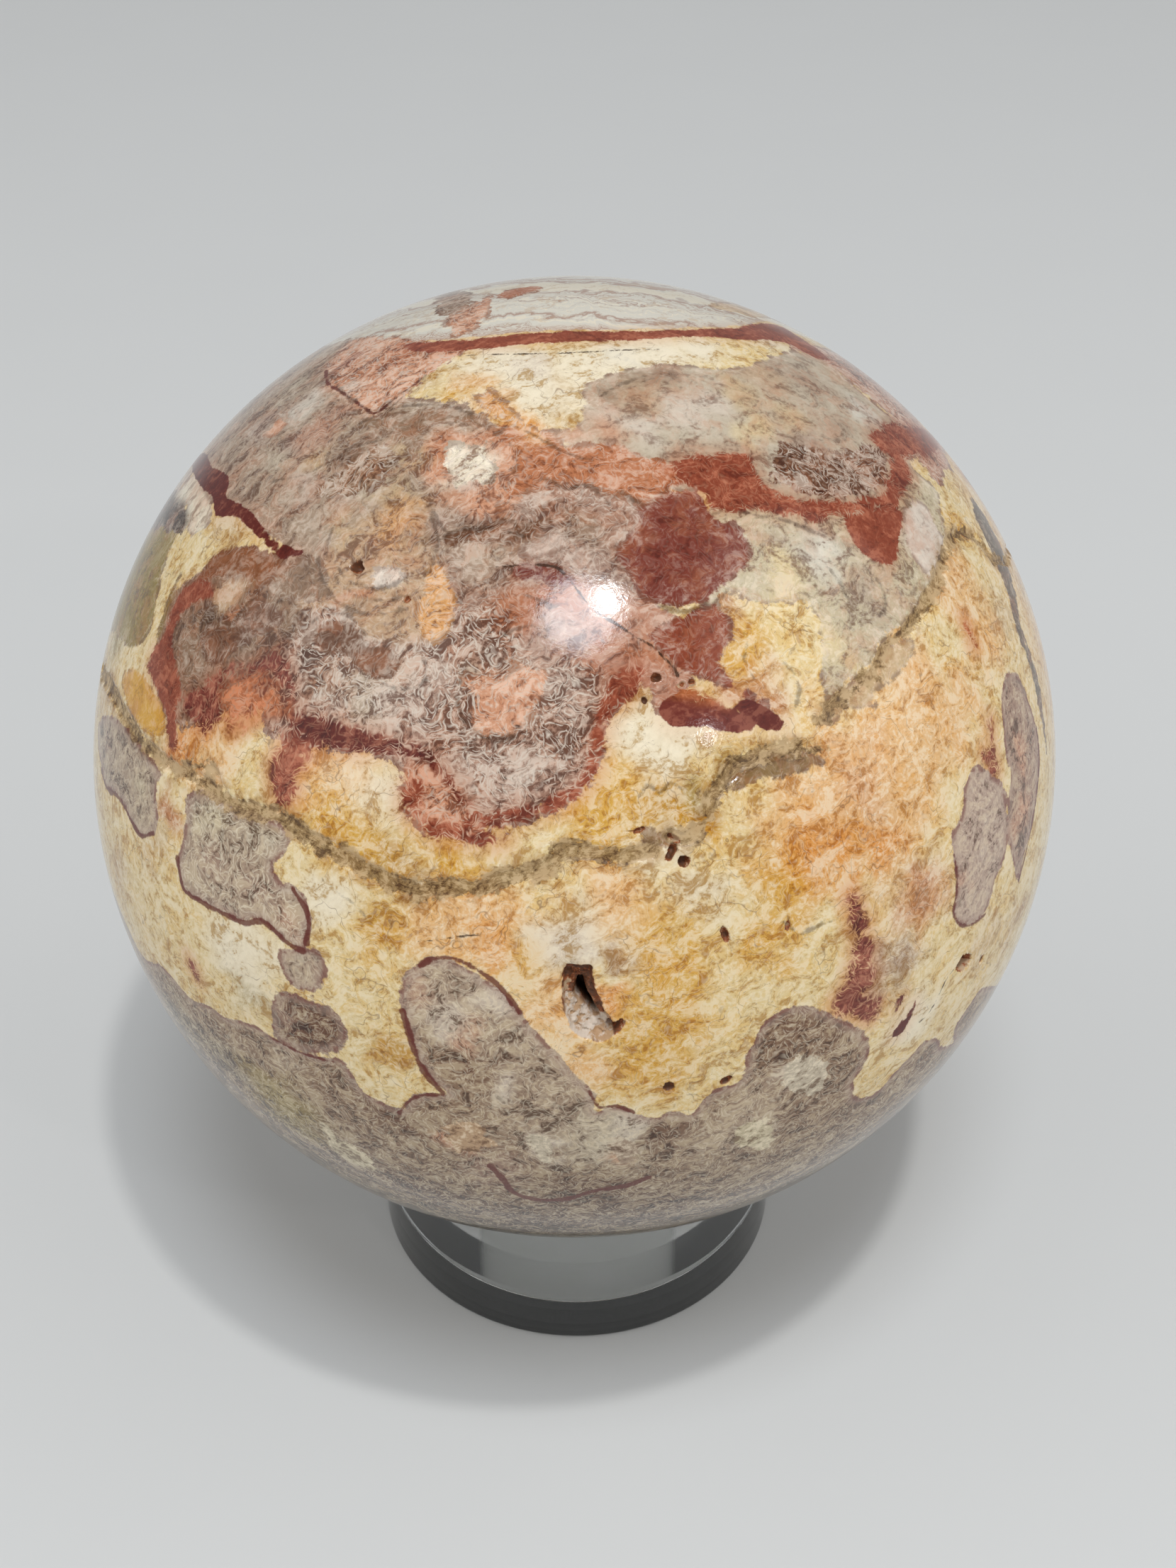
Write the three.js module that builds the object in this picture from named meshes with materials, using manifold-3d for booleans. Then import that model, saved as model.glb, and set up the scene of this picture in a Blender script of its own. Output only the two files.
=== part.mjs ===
// A polished ball of brecciated opal and jasper, resting on a thick-walled clear ring stand.
// Millimetres, +Z up. The origin is at the middle of the ring's underside, and -Y is the front.
import * as THREE from "three";
import Module from "manifold-3d";
import { mergeVertices } from "three/addons/utils/BufferGeometryUtils.js";

const wasm = await Module();
wasm.setup();

// Driving dimensions
const BALL_RADIUS = 40;
const BALL_DETAIL = 15; // each icosahedron edge is split into one more than this
const RING_OUTER_RADIUS = 19;
const RING_BORE_RADIUS = 10;
const RING_HEIGHT = 16;
const RING_SIDES = 72;
const EDGE_BEVEL = 0.4;
const SEAT_WIDTH = 2.5; // how far the sloped seat reaches out from the bore
const SEAT_GAP = 0.1; // between the seat and the ball, along the vertical
const SLIVER = 0.015; // the cuts' leftover slivers up to this size are closed up

// The seat's slope is the ball's own slope at the circle that it rests on.
const CONTACT_RADIUS = RING_BORE_RADIUS + SEAT_WIDTH / 2;
const CONTACT_ANGLE = Math.asin(CONTACT_RADIUS / BALL_RADIUS);
const SEAT_DROP = SEAT_WIDTH * Math.tan(CONTACT_ANGLE);
const CONTACT_HEIGHT = RING_HEIGHT - SEAT_DROP / 2;
const BALL_CENTRE_HEIGHT = CONTACT_HEIGHT + BALL_RADIUS * Math.cos(CONTACT_ANGLE) + SEAT_GAP;

// Pits in the ball. azimuth and elevation place a pit's mouth as seen from the ball's centre, in degrees,
// with azimuth -90 at the front and 0 on the right. turn is how far its long side leans from level,
// anticlockwise as seen from outside. length, width and depth are in millimetres.
const VUG = [
  { azimuth: -89.4, elevation: 15.6, turn: 96, length: 2.9, width: 2.0, depth: 2.2 },
  { azimuth: -88.2, elevation: 13.6, turn: 112, length: 3.6, width: 2.3, depth: 3.4 },
  { azimuth: -87.1, elevation: 11.5, turn: 118, length: 2.7, width: 2.5, depth: 2.8 },
  { azimuth: -85.6, elevation: 10.0, turn: 35, length: 1.5, width: 0.9, depth: 1.3 },
];
const SEAM_CAVITIES = [
  { azimuth: -77.7, elevation: 27.0, turn: 0, length: 0.95, width: 0.8, depth: 0.8 },
  { azimuth: -79.0, elevation: 28.1, turn: 60, length: 1.35, width: 0.6, depth: 0.7 },
  { azimuth: -78.5, elevation: 29.4, turn: 140, length: 1.2, width: 0.45, depth: 0.5 },
  { azimuth: -82.4, elevation: 30.6, turn: 20, length: 0.9, width: 0.4, depth: 0.4 },
];
const LENS_PITS = [
  { azimuth: -78.4, elevation: 45.1, turn: 20, length: 0.8, width: 0.65, depth: 0.55 },
  { azimuth: -75.0, elevation: 44.1, turn: 0, length: 0.5, width: 0.42, depth: 0.35 },
  { azimuth: -73.6, elevation: 44.1, turn: 30, length: 0.6, width: 0.5, depth: 0.4 },
  { azimuth: -80.4, elevation: 43.0, turn: 100, length: 0.5, width: 0.42, depth: 0.4 },
];
const SINGLE_PITS = [
  { azimuth: -42.9, elevation: 2.4, turn: 150, length: 1.4, width: 1.2, depth: 1.5 },
  { azimuth: -39.1, elevation: 0.3, turn: 40, length: 0.9, width: 0.6, depth: 0.35 },
  { azimuth: -127.5, elevation: 52.4, turn: 150, length: 1.2, width: 0.95, depth: 0.9 },
  { azimuth: -116.6, elevation: 51.2, turn: 30, length: 0.6, width: 0.5, depth: 0.35 },
  { azimuth: -80.2, elevation: 1.6, turn: 70, length: 0.95, width: 0.8, depth: 0.5 },
  { azimuth: -74.1, elevation: 1.2, turn: 20, length: 1.0, width: 0.8, depth: 0.5 },
  { azimuth: -73.9, elevation: 18.8, turn: 105, length: 1.4, width: 0.6, depth: 0.5 },
  { azimuth: -66.9, elevation: 18.1, turn: 80, length: 0.8, width: 0.5, depth: 0.4 },
];
const BACK_PITS = [
  { azimuth: 74, elevation: 31, turn: 130, length: 2.1, width: 1.2, depth: 1.3 },
  { azimuth: 79, elevation: 29, turn: 20, length: 1.0, width: 0.7, depth: 0.6 },
  { azimuth: 128, elevation: -12, turn: 60, length: 1.3, width: 1.0, depth: 0.9 },
  { azimuth: 163, elevation: 24, turn: 100, length: 1.0, width: 0.7, depth: 0.6 },
  { azimuth: 21, elevation: 9, turn: 15, length: 1.2, width: 0.7, depth: 0.7 },
];

const STONE_MATERIAL = new THREE.MeshStandardMaterial({ color: 0xb3a08c, roughness: 0.15, metalness: 0 });
const CLEAR_MATERIAL = new THREE.MeshStandardMaterial({ color: 0xe6ecef, roughness: 0.05, metalness: 0 });

// A closed geometry becomes a solid once only its positions are left and its shared corners are merged.
function toSolid(geometry) {
  const bare = geometry.clone();
  bare.deleteAttribute("normal");
  bare.deleteAttribute("uv");
  const merged = mergeVertices(bare, 1e-5);
  const vertProperties = new Float32Array(merged.attributes.position.array);
  const triVerts = new Uint32Array(merged.index.array);
  return new wasm.Manifold(new wasm.Mesh({ numProp: 3, vertProperties, triVerts }));
}

function toGeometry(solid) {
  const mesh = solid.getMesh();
  const geometry = new THREE.BufferGeometry();
  geometry.setAttribute("position", new THREE.BufferAttribute(new Float32Array(mesh.vertProperties), 3));
  geometry.setIndex(new THREE.BufferAttribute(new Uint32Array(mesh.triVerts), 1));
  geometry.computeVertexNormals();
  return geometry;
}

// The direction from the ball's centre to a place on its surface
function outward(azimuth, elevation) {
  const turn = THREE.MathUtils.degToRad(azimuth);
  const rise = THREE.MathUtils.degToRad(elevation);
  const level = Math.cos(rise);
  return new THREE.Vector3(level * Math.cos(turn), level * Math.sin(turn), Math.sin(rise));
}

// How much a pit's wall bulges or narrows in a direction, so that no pit is a plain bowl
function unevenness(point, phase) {
  const slow = Math.sin(2.3 * point.x + phase) * Math.cos(2.9 * point.y - 1.7 * phase);
  const quick = Math.sin(5.1 * point.y + 2.1 * phase) * Math.cos(4.3 * point.z + phase);
  return 1 + 0.16 * slow + 0.09 * quick;
}

// One uneven hollow whose mouth has the stated length and width, as a closed solid to cut away
function pitCutter(pit, phase) {
  const geometry = new THREE.IcosahedronGeometry(1, pit.length > 1.2 ? 2 : 1);
  const position = geometry.attributes.position;
  const point = new THREE.Vector3();
  for (let i = 0; i < position.count; i += 1) {
    point.fromBufferAttribute(position, i);
    point.multiplyScalar(unevenness(point, phase));
    position.setXYZ(i, point.x, point.y, point.z);
  }
  geometry.scale(pit.length / 2, pit.width / 2, pit.depth);

  const normal = outward(pit.azimuth, pit.elevation);
  const level = new THREE.Vector3(0, 0, 1).cross(normal).normalize();
  const uphill = normal.clone().cross(level);
  const frame = new THREE.Matrix4().makeBasis(level, uphill, normal);
  const lean = new THREE.Matrix4().makeRotationZ(THREE.MathUtils.degToRad(pit.turn));
  geometry.applyMatrix4(frame.multiply(lean));
  geometry.translate(...normal.multiplyScalar(BALL_RADIUS).toArray());
  return toSolid(geometry);
}

function makeStone() {
  const ball = new THREE.IcosahedronGeometry(BALL_RADIUS, BALL_DETAIL);
  const pits = [...VUG, ...SEAM_CAVITIES, ...LENS_PITS, ...SINGLE_PITS, ...BACK_PITS];
  let solid = toSolid(ball);
  pits.forEach((pit, index) => {
    solid = solid.subtract(pitCutter(pit, 1 + index));
  });

  const stone = new THREE.Mesh(toGeometry(solid.asOriginal().simplify(SLIVER)), STONE_MATERIAL);
  stone.name = "stone";
  stone.position.z = BALL_CENTRE_HEIGHT;
  return stone;
}

function makeRingStand() {
  const outer = RING_OUTER_RADIUS;
  const bore = RING_BORE_RADIUS;
  const top = RING_HEIGHT;
  const profile = [
    new THREE.Vector2(bore + EDGE_BEVEL, 0),
    new THREE.Vector2(outer - EDGE_BEVEL, 0),
    new THREE.Vector2(outer, EDGE_BEVEL),
    new THREE.Vector2(outer, top - EDGE_BEVEL),
    new THREE.Vector2(outer - EDGE_BEVEL, top),
    new THREE.Vector2(bore + SEAT_WIDTH, top),
    new THREE.Vector2(bore, top - SEAT_DROP),
    new THREE.Vector2(bore, EDGE_BEVEL),
    new THREE.Vector2(bore + EDGE_BEVEL, 0),
  ];
  const geometry = new THREE.LatheGeometry(profile, RING_SIDES);
  geometry.rotateX(Math.PI / 2);

  const ringStand = new THREE.Mesh(geometry, CLEAR_MATERIAL);
  ringStand.name = "ring_stand";
  return ringStand;
}

const sphereOnStand = new THREE.Group();
sphereOnStand.add(makeRingStand(), makeStone());

export default sphereOnStand;
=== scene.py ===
"""A polished ball of brecciated opal and jasper on a clear ring stand: finish, stage and camera."""
import math

import bpy
import numpy as np
from bpy.props import FloatProperty, FloatVectorProperty, IntProperty, PointerProperty
from mathutils import Euler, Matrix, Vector


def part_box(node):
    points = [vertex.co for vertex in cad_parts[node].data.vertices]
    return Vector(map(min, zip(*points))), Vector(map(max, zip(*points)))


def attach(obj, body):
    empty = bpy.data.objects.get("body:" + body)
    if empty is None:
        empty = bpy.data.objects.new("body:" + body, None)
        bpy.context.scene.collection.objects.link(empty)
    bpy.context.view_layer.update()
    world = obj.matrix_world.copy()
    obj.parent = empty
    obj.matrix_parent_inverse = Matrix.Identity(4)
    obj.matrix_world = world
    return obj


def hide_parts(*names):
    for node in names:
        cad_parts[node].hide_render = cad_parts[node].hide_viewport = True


bl_info = {
    "name": "Breccia Sphere Dresser",
    "version": (1, 0, 0),
    "blender": (4, 5, 0),
    "location": "View3D > Sidebar > Sphere",
    "description": "Dresses a polished breccia sphere and its clear ring stand",
    "category": "Object",
}

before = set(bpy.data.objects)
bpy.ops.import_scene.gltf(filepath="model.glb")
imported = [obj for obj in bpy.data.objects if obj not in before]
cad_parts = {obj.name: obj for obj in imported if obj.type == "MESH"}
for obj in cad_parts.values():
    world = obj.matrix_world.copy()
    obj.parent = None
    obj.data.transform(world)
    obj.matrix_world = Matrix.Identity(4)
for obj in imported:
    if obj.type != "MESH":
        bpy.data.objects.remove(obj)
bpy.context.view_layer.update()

MM = 0.001
STONE_LOW, STONE_HIGH = (np.array(corner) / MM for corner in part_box("stone"))
BALL_RADIUS = (STONE_HIGH[0] - STONE_LOW[0]) / 2
BALL_CENTRE = (STONE_LOW + STONE_HIGH) / 2
RING_LOW, RING_HIGH = (np.array(corner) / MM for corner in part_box("ring_stand"))

# Driving sizes, in millimetres, as on the solids
RING_OUTER_RADIUS = (RING_HIGH[0] - RING_LOW[0]) / 2
RING_BORE_RADIUS = 10.0
RING_HEIGHT = RING_HIGH[2]
RING_SEAT_WIDTH = 2.5
CONTACT_RADIUS = RING_BORE_RADIUS + RING_SEAT_WIDTH / 2
RING_SEAT_DROP = RING_SEAT_WIDTH * math.tan(math.asin(CONTACT_RADIUS / BALL_RADIUS))

# The camera, in millimetres, degrees and pixels, and the picture that the outlines below are given in
PICTURE_WIDTH = 1659
PICTURE_HEIGHT = 2212
FOCAL_PIXELS = 3078.0
CAMERA_EYE = np.array([1.103, -146.743, 168.090])
CAMERA_PITCH = 38.519
SENSOR_SIZE = 36.0

# Colours by name, as red, green and blue out of 255
COLOURS = {
    "ivory": (240, 228, 204),
    "porcelain": (222, 216, 202),
    "frost": (222, 208, 192),
    "cream": (231, 208, 158),
    "sand": (209, 181, 140),
    "peach": (233, 186, 132),
    "apricot": (226, 156, 82),
    "gold": (218, 168, 62),
    "ochre": (192, 142, 30),
    "olive": (152, 130, 58),
    "chalk": (206, 192, 162),
    "pearl": (200, 186, 164),
    "ash": (178, 156, 134),
    "fawn": (196, 164, 130),
    "honey": (220, 166, 106),
    "taupe": (150, 122, 98),
    "khaki": (152, 124, 84),
    "mauve": (168, 138, 120),
    "lilac": (188, 164, 148),
    "umber": (118, 82, 60),
    "amber": (136, 84, 48),
    "rust": (178, 106, 62),
    "terracotta": (192, 128, 90),
    "salmon": (214, 162, 130),
    "rose": (190, 144, 120),
    "brick": (148, 76, 52),
    "garnet": (132, 66, 52),
    "maroon": (108, 40, 27),
    "plum": (122, 58, 48),
    "slate_brown": (108, 90, 70),
    "bark": (66, 42, 24),
}

# The finishes' own values
STONE_IOR = 1.46
STONE_SPECULAR_LEVEL = 0.4
VEIL_GAMMA = 1.13
ACRYLIC_IOR = 1.49
ACRYLIC_TRANSMISSION = 0.95

# What lies in the cream ground: soft tints by colour, each a place in the picture and a radius in pixels
GROUND_TINTS = {
    "rose": [
        (1195, 515, 44), (560, 480, 20), (1150, 478, 20), (905, 870, 40), (860, 845, 40), (1030, 870, 26),
    ],
    "fawn": [(1250, 565, 40)],
    "frost": [
        (1290, 610, 30), (790, 1330, 40), (1000, 1260, 40), (420, 500, 26), (470, 480, 26), (520, 482, 20),
        (750, 515, 30),
    ],
    "peach": [
        (1180, 1060, 60), (700, 1300, 50), (300, 1065, 40), (470, 1090, 50), (1345, 830, 50),
        (1390, 900, 40), (1290, 960, 60), (1240, 1055, 70), (1330, 1030, 50), (1130, 1120, 46),
        (1290, 1120, 50), (1190, 1110, 40), (870, 1270, 46), (690, 1290, 40), (620, 1310, 44),
        (770, 1430, 44), (830, 1505, 34), (1370, 980, 34),
    ],
    "salmon": [(1210, 1100, 50), (1275, 585, 20), (1300, 1260, 44)],
    "mauve": [
        (1190, 500, 26), (835, 790, 44), (700, 830, 40), (620, 872, 36), (585, 690, 36), (560, 860, 36),
        (720, 780, 40),
    ],
    "taupe": [(1232, 540, 26), (575, 600, 36)],
    "porcelain": [(880, 505, 24)],
    "ivory": [
        (1090, 485, 24), (740, 545, 50), (690, 512, 40), (920, 505, 50), (800, 560, 40), (840, 512, 40),
        (1000, 500, 30), (515, 1115, 45), (905, 1050, 50), (960, 1062, 30), (465, 1265, 34),
        (335, 1340, 50), (1285, 1440, 40), (940, 1200, 20),
    ],
    "sand": [
        (780, 540, 24), (790, 600, 34), (600, 525, 20), (1180, 520, 40), (325, 748, 36), (150, 1000, 40),
        (600, 1245, 30), (915, 968, 24), (215, 1200, 30), (1390, 1330, 30), (1430, 1300, 30),
        (1410, 870, 30), (170, 1230, 30),
    ],
    "honey": [(660, 540, 24), (700, 572, 24)],
    "gold": [
        (650, 556, 16), (450, 1145, 36), (505, 1180, 40), (640, 1222, 36), (858, 1105, 44), (850, 1165, 36),
        (990, 1160, 30), (1062, 915, 36), (1350, 735, 24), (1120, 1250, 36), (1110, 1240, 40),
        (1090, 1335, 46), (950, 1335, 50), (748, 1345, 30), (545, 1318, 34), (920, 1490, 60),
        (960, 1415, 50), (1170, 930, 24),
    ],
    "apricot": [
        (725, 600, 22), (258, 1060, 28), (1240, 1195, 40), (1140, 1215, 60), (700, 1330, 30),
        (870, 1420, 24),
    ],
    "cream": [
        (1060, 495, 40), (420, 865, 40), (205, 880, 40), (250, 770, 30), (335, 1095, 40), (760, 1195, 50),
        (1120, 1030, 36), (1125, 925, 46), (1100, 865, 34), (1325, 680, 34), (1330, 880, 40),
        (1020, 1255, 50), (980, 1210, 30), (1010, 1300, 40), (480, 1330, 40), (225, 1260, 50),
        (500, 1430, 40), (500, 1520, 34), (450, 1390, 36), (1010, 1400, 40), (985, 1525, 36),
        (1130, 1350, 46), (1180, 1300, 30), (1240, 1500, 30), (1060, 1390, 30), (1190, 1010, 26),
        (200, 1310, 40), (640, 1420, 20),
    ],
    "olive": [(185, 800, 50), (985, 1105, 22), (165, 900, 30)],
    "ochre": [(560, 1212, 30), (950, 1135, 50), (930, 1110, 30), (535, 1300, 16), (545, 1482, 26)],
    "rust": [(890, 930, 34)],
    "terracotta": [(1035, 950, 24), (240, 1155, 24), (1085, 970, 26), (960, 690, 30)],
    "lilac": [(1265, 1360, 40), (872, 1345, 22)],
    "chalk": [(350, 1395, 40)],
}

# Outlines in the picture's pixels. Each patch is a colour, how flecked it is from 0 to 1, and its outline.
MASSES = [
    ("ash", 0.35, [
        (300, 655), (285, 640), (300, 600), (340, 560), (400, 505), (450, 478), (458, 520), (470, 556),
        (505, 582), (540, 584), (580, 568), (640, 568), (690, 590), (700, 608), (640, 610), (604, 618),
        (596, 660), (604, 700), (618, 728), (606, 752), (600, 735), (560, 712), (515, 728), (478, 765),
        (455, 795), (430, 778), (403, 768), (375, 745), (350, 720), (320, 700), (318, 672)]),
    ("taupe", 0.35, [
        (243, 905), (250, 880), (272, 862), (292, 850), (312, 868), (340, 860), (352, 842), (372, 838),
        (395, 852), (404, 872), (400, 900), (385, 915), (360, 925), (335, 937), (305, 946), (280, 955),
        (262, 965), (252, 940)]),
    ("mauve", 1.0, [
        (416, 925), (425, 902), (442, 888), (452, 872), (474, 862), (492, 868), (506, 884), (522, 900),
        (560, 905), (600, 906), (625, 900), (645, 880), (660, 862), (690, 850), (712, 870), (735, 896),
        (742, 925), (775, 938), (800, 930), (838, 946), (860, 962), (855, 982), (845, 1000), (839, 1020),
        (836, 1044), (830, 1068), (824, 1090), (806, 1110), (782, 1126), (751, 1136), (726, 1142),
        (700, 1146), (683, 1156), (664, 1146), (655, 1125), (642, 1103), (628, 1082), (612, 1064),
        (590, 1054), (560, 1045), (525, 1035), (490, 1024), (458, 1014), (430, 1005), (420, 980)]),
    ("salmon", 0.8, [
        (598, 1095), (620, 1090), (640, 1105), (655, 1130), (665, 1150), (680, 1162), (700, 1172),
        (715, 1180), (690, 1178), (665, 1170), (640, 1161), (610, 1158), (592, 1145), (590, 1120)]),
    ("fawn", 0.35, [
        (458, 790), (474, 769), (498, 744), (520, 726), (551, 713), (582, 712), (600, 735), (608, 775),
        (622, 800), (600, 815), (590, 850), (600, 880), (600, 902), (560, 903), (520, 899), (506, 882),
        (492, 866), (474, 848), (450, 840), (443, 818)]),
    ("pearl", 0.1, [
        (820, 548), (850, 532), (880, 530), (910, 520), (940, 512), (975, 525), (1000, 520), (1040, 522),
        (1080, 510), (1120, 495), (1160, 508), (1200, 545), (1240, 580), (1262, 598), (1240, 605),
        (1228, 618), (1245, 640), (1252, 660), (1244, 690), (1222, 700), (1180, 703), (1148, 703),
        (1105, 693), (1075, 676), (1062, 642), (1030, 632), (990, 634), (955, 640), (905, 630),
        (870, 622), (850, 600), (835, 580)]),
    ("chalk", 0.3, [
        (1058, 745), (1075, 735), (1110, 738), (1140, 742), (1165, 745), (1188, 745), (1200, 770),
        (1220, 790), (1247, 805), (1272, 790), (1277, 755), (1275, 722), (1290, 706), (1310, 716),
        (1322, 742), (1335, 765), (1328, 790), (1322, 815), (1305, 835), (1295, 855), (1280, 875),
        (1262, 893), (1240, 905), (1235, 930), (1215, 950), (1190, 970), (1168, 985), (1163, 950),
        (1158, 905), (1160, 870), (1145, 850), (1115, 850), (1085, 852), (1060, 848), (1050, 812),
        (1058, 780)]),
    ("mauve", 0.45, [
        (600, 735), (612, 725), (640, 728), (672, 748), (700, 738), (740, 728), (780, 715), (830, 715),
        (870, 735), (895, 745), (880, 765), (868, 785), (845, 800), (800, 796), (760, 790), (724, 795),
        (735, 820), (760, 824), (728, 838), (712, 856), (690, 850), (660, 862), (645, 840), (634, 815),
        (625, 795), (612, 770), (604, 750)]),
    ("salmon", 0.4, [
        (600, 620), (640, 612), (690, 612), (720, 625), (730, 650), (722, 680), (705, 700), (690, 716),
        (665, 712), (640, 702), (615, 692), (600, 680)]),
    ("salmon", 0.75, [
        (500, 489), (474, 507), (460, 523), (462, 537), (480, 548), (498, 560), (514, 575), (529, 581),
        (551, 564), (575, 548), (594, 532), (620, 514), (650, 500), (662, 488), (640, 482), (600, 484),
        (551, 486)]),
    ("rose", 0.3, [
        (708, 843), (745, 832), (775, 842), (822, 848), (845, 870), (870, 900), (900, 905), (915, 925),
        (905, 945), (868, 948), (838, 945), (800, 930), (775, 938), (742, 925), (735, 896), (712, 870)]),
    ("rose", 0.7, [
        (1112, 478), (1150, 488), (1195, 508), (1240, 540), (1282, 580), (1318, 622), (1340, 655),
        (1330, 664), (1312, 640), (1285, 612), (1262, 590), (1225, 560), (1190, 530), (1150, 505),
        (1118, 494)]),
    ("olive", 0.15, [
        (150, 875), (172, 805), (200, 745), (222, 715), (240, 722), (250, 750), (240, 775), (230, 805),
        (222, 840), (215, 880), (200, 905), (185, 915), (168, 900)]),
]
# Inside this outline the masses meet, with none of the cream ground between them.
MASS_ZONE = [
    (285, 560), (360, 512), (420, 482), (500, 477), (600, 480), (660, 484), (640, 506), (600, 535),
    (575, 560), (610, 566), (690, 598), (760, 606), (815, 600), (825, 560), (850, 532), (930, 514),
    (1040, 520), (1120, 495), (1162, 508), (1205, 545), (1262, 590), (1335, 620), (1325, 700),
    (1335, 780), (1250, 900), (1165, 980), (1150, 860), (1060, 850), (1040, 835), (1010, 855),
    (1045, 950), (1110, 1020), (1020, 1032), (940, 1022), (905, 965), (862, 1010), (835, 1110),
    (745, 1155), (640, 1190), (570, 1140), (560, 1075), (420, 1060), (400, 1130), (380, 1060),
    (300, 1030), (240, 1055), (215, 950), (235, 850), (262, 800), (300, 775), (380, 785), (400, 770),
    (330, 725), (270, 680),
]
# How far from a mass, in millimetres, its zone still closes a gap
MASS_ZONE_REACH = 3.2
# Soft tints in the masses
MASS_TINTS = {
    "pearl": [
        (400, 560, 24), (385, 655, 26), (540, 690, 18), (520, 985, 26), (640, 945, 18), (700, 790, 18),
        (1000, 604, 36),
    ],
    "frost": [
        (350, 610, 22), (500, 690, 16), (560, 1000, 18), (750, 1090, 20), (790, 765, 14), (668, 668, 22),
        (870, 575, 24), (940, 575, 24), (500, 545, 12), (430, 570, 16), (472, 1010, 12), (980, 572, 34),
        (922, 602, 24),
    ],
    "lilac": [
        (430, 620, 30), (420, 690, 26), (590, 965, 34), (700, 1080, 36), (760, 985, 30), (820, 780, 20),
        (370, 600, 40), (780, 932, 36), (802, 1012, 22), (1130, 672, 18), (760, 775, 20),
    ],
    "salmon": [
        (450, 560, 16), (520, 600, 14), (700, 690, 16), (560, 540, 18), (440, 617, 14), (692, 952, 20),
        (862, 600, 26), (800, 615, 20),
    ],
    "porcelain": [
        (655, 652, 17), (438, 570, 20), (1215, 575, 26), (1240, 590, 16), (1222, 580, 18), (1162, 782, 32),
        (1285, 762, 18),
    ],
    "ivory": [(672, 640, 14), (640, 668, 14), (545, 812, 15)],
    "terracotta": [
        (612, 640, 16), (640, 612, 16), (480, 540, 28), (522, 518, 22), (700, 718, 20), (500, 852, 14),
        (322, 852, 12), (762, 642, 26), (802, 662, 26), (900, 915, 24),
    ],
    "fawn": [(905, 560, 34), (1170, 520, 24), (470, 782, 18), (1080, 530, 30)],
    "sand": [
        (1040, 560, 30), (1120, 590, 30), (450, 642, 24), (570, 642, 22), (560, 700, 26), (480, 742, 20),
    ],
    "ash": [
        (1100, 520, 30), (340, 642, 30), (400, 700, 36), (480, 712, 28), (622, 702, 22), (642, 770, 20),
        (682, 802, 28), (560, 960, 36), (500, 992, 24), (1140, 540, 36), (1182, 600, 26), (1100, 752, 16),
        (1232, 832, 22), (1150, 762, 14), (1250, 870, 20),
    ],
    "brick": [(490, 510, 14), (545, 560, 12)],
    "rust": [
        (560, 500, 22), (532, 762, 11), (730, 862, 26), (772, 842, 20), (722, 620, 20), (862, 662, 26),
        (870, 930, 20),
    ],
    "taupe": [
        (600, 495, 18), (540, 592, 22), (622, 742, 14), (450, 960, 28), (392, 852, 16), (862, 545, 22),
        (900, 535, 22), (1222, 652, 18), (740, 765, 24), (690, 745, 20), (830, 745, 26),
    ],
    "rose": [(470, 592, 26), (812, 842, 22), (905, 872, 30)],
    "umber": [
        (505, 640, 20), (430, 902, 26), (500, 902, 20), (332, 882, 26), (932, 528, 16), (640, 752, 14),
    ],
    "honey": [(562, 742, 22)],
    "chalk": [(545, 816, 16)],
    "mauve": [(700, 902, 26), (762, 1062, 44), (642, 1062, 36), (1150, 642, 36), (880, 800, 20)],
    "cream": [(1060, 602, 24), (1110, 802, 26), (1100, 852, 26), (1150, 902, 30), (1190, 940, 20)],
    "slate_brown": [(1180, 752, 10)],
}
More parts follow.
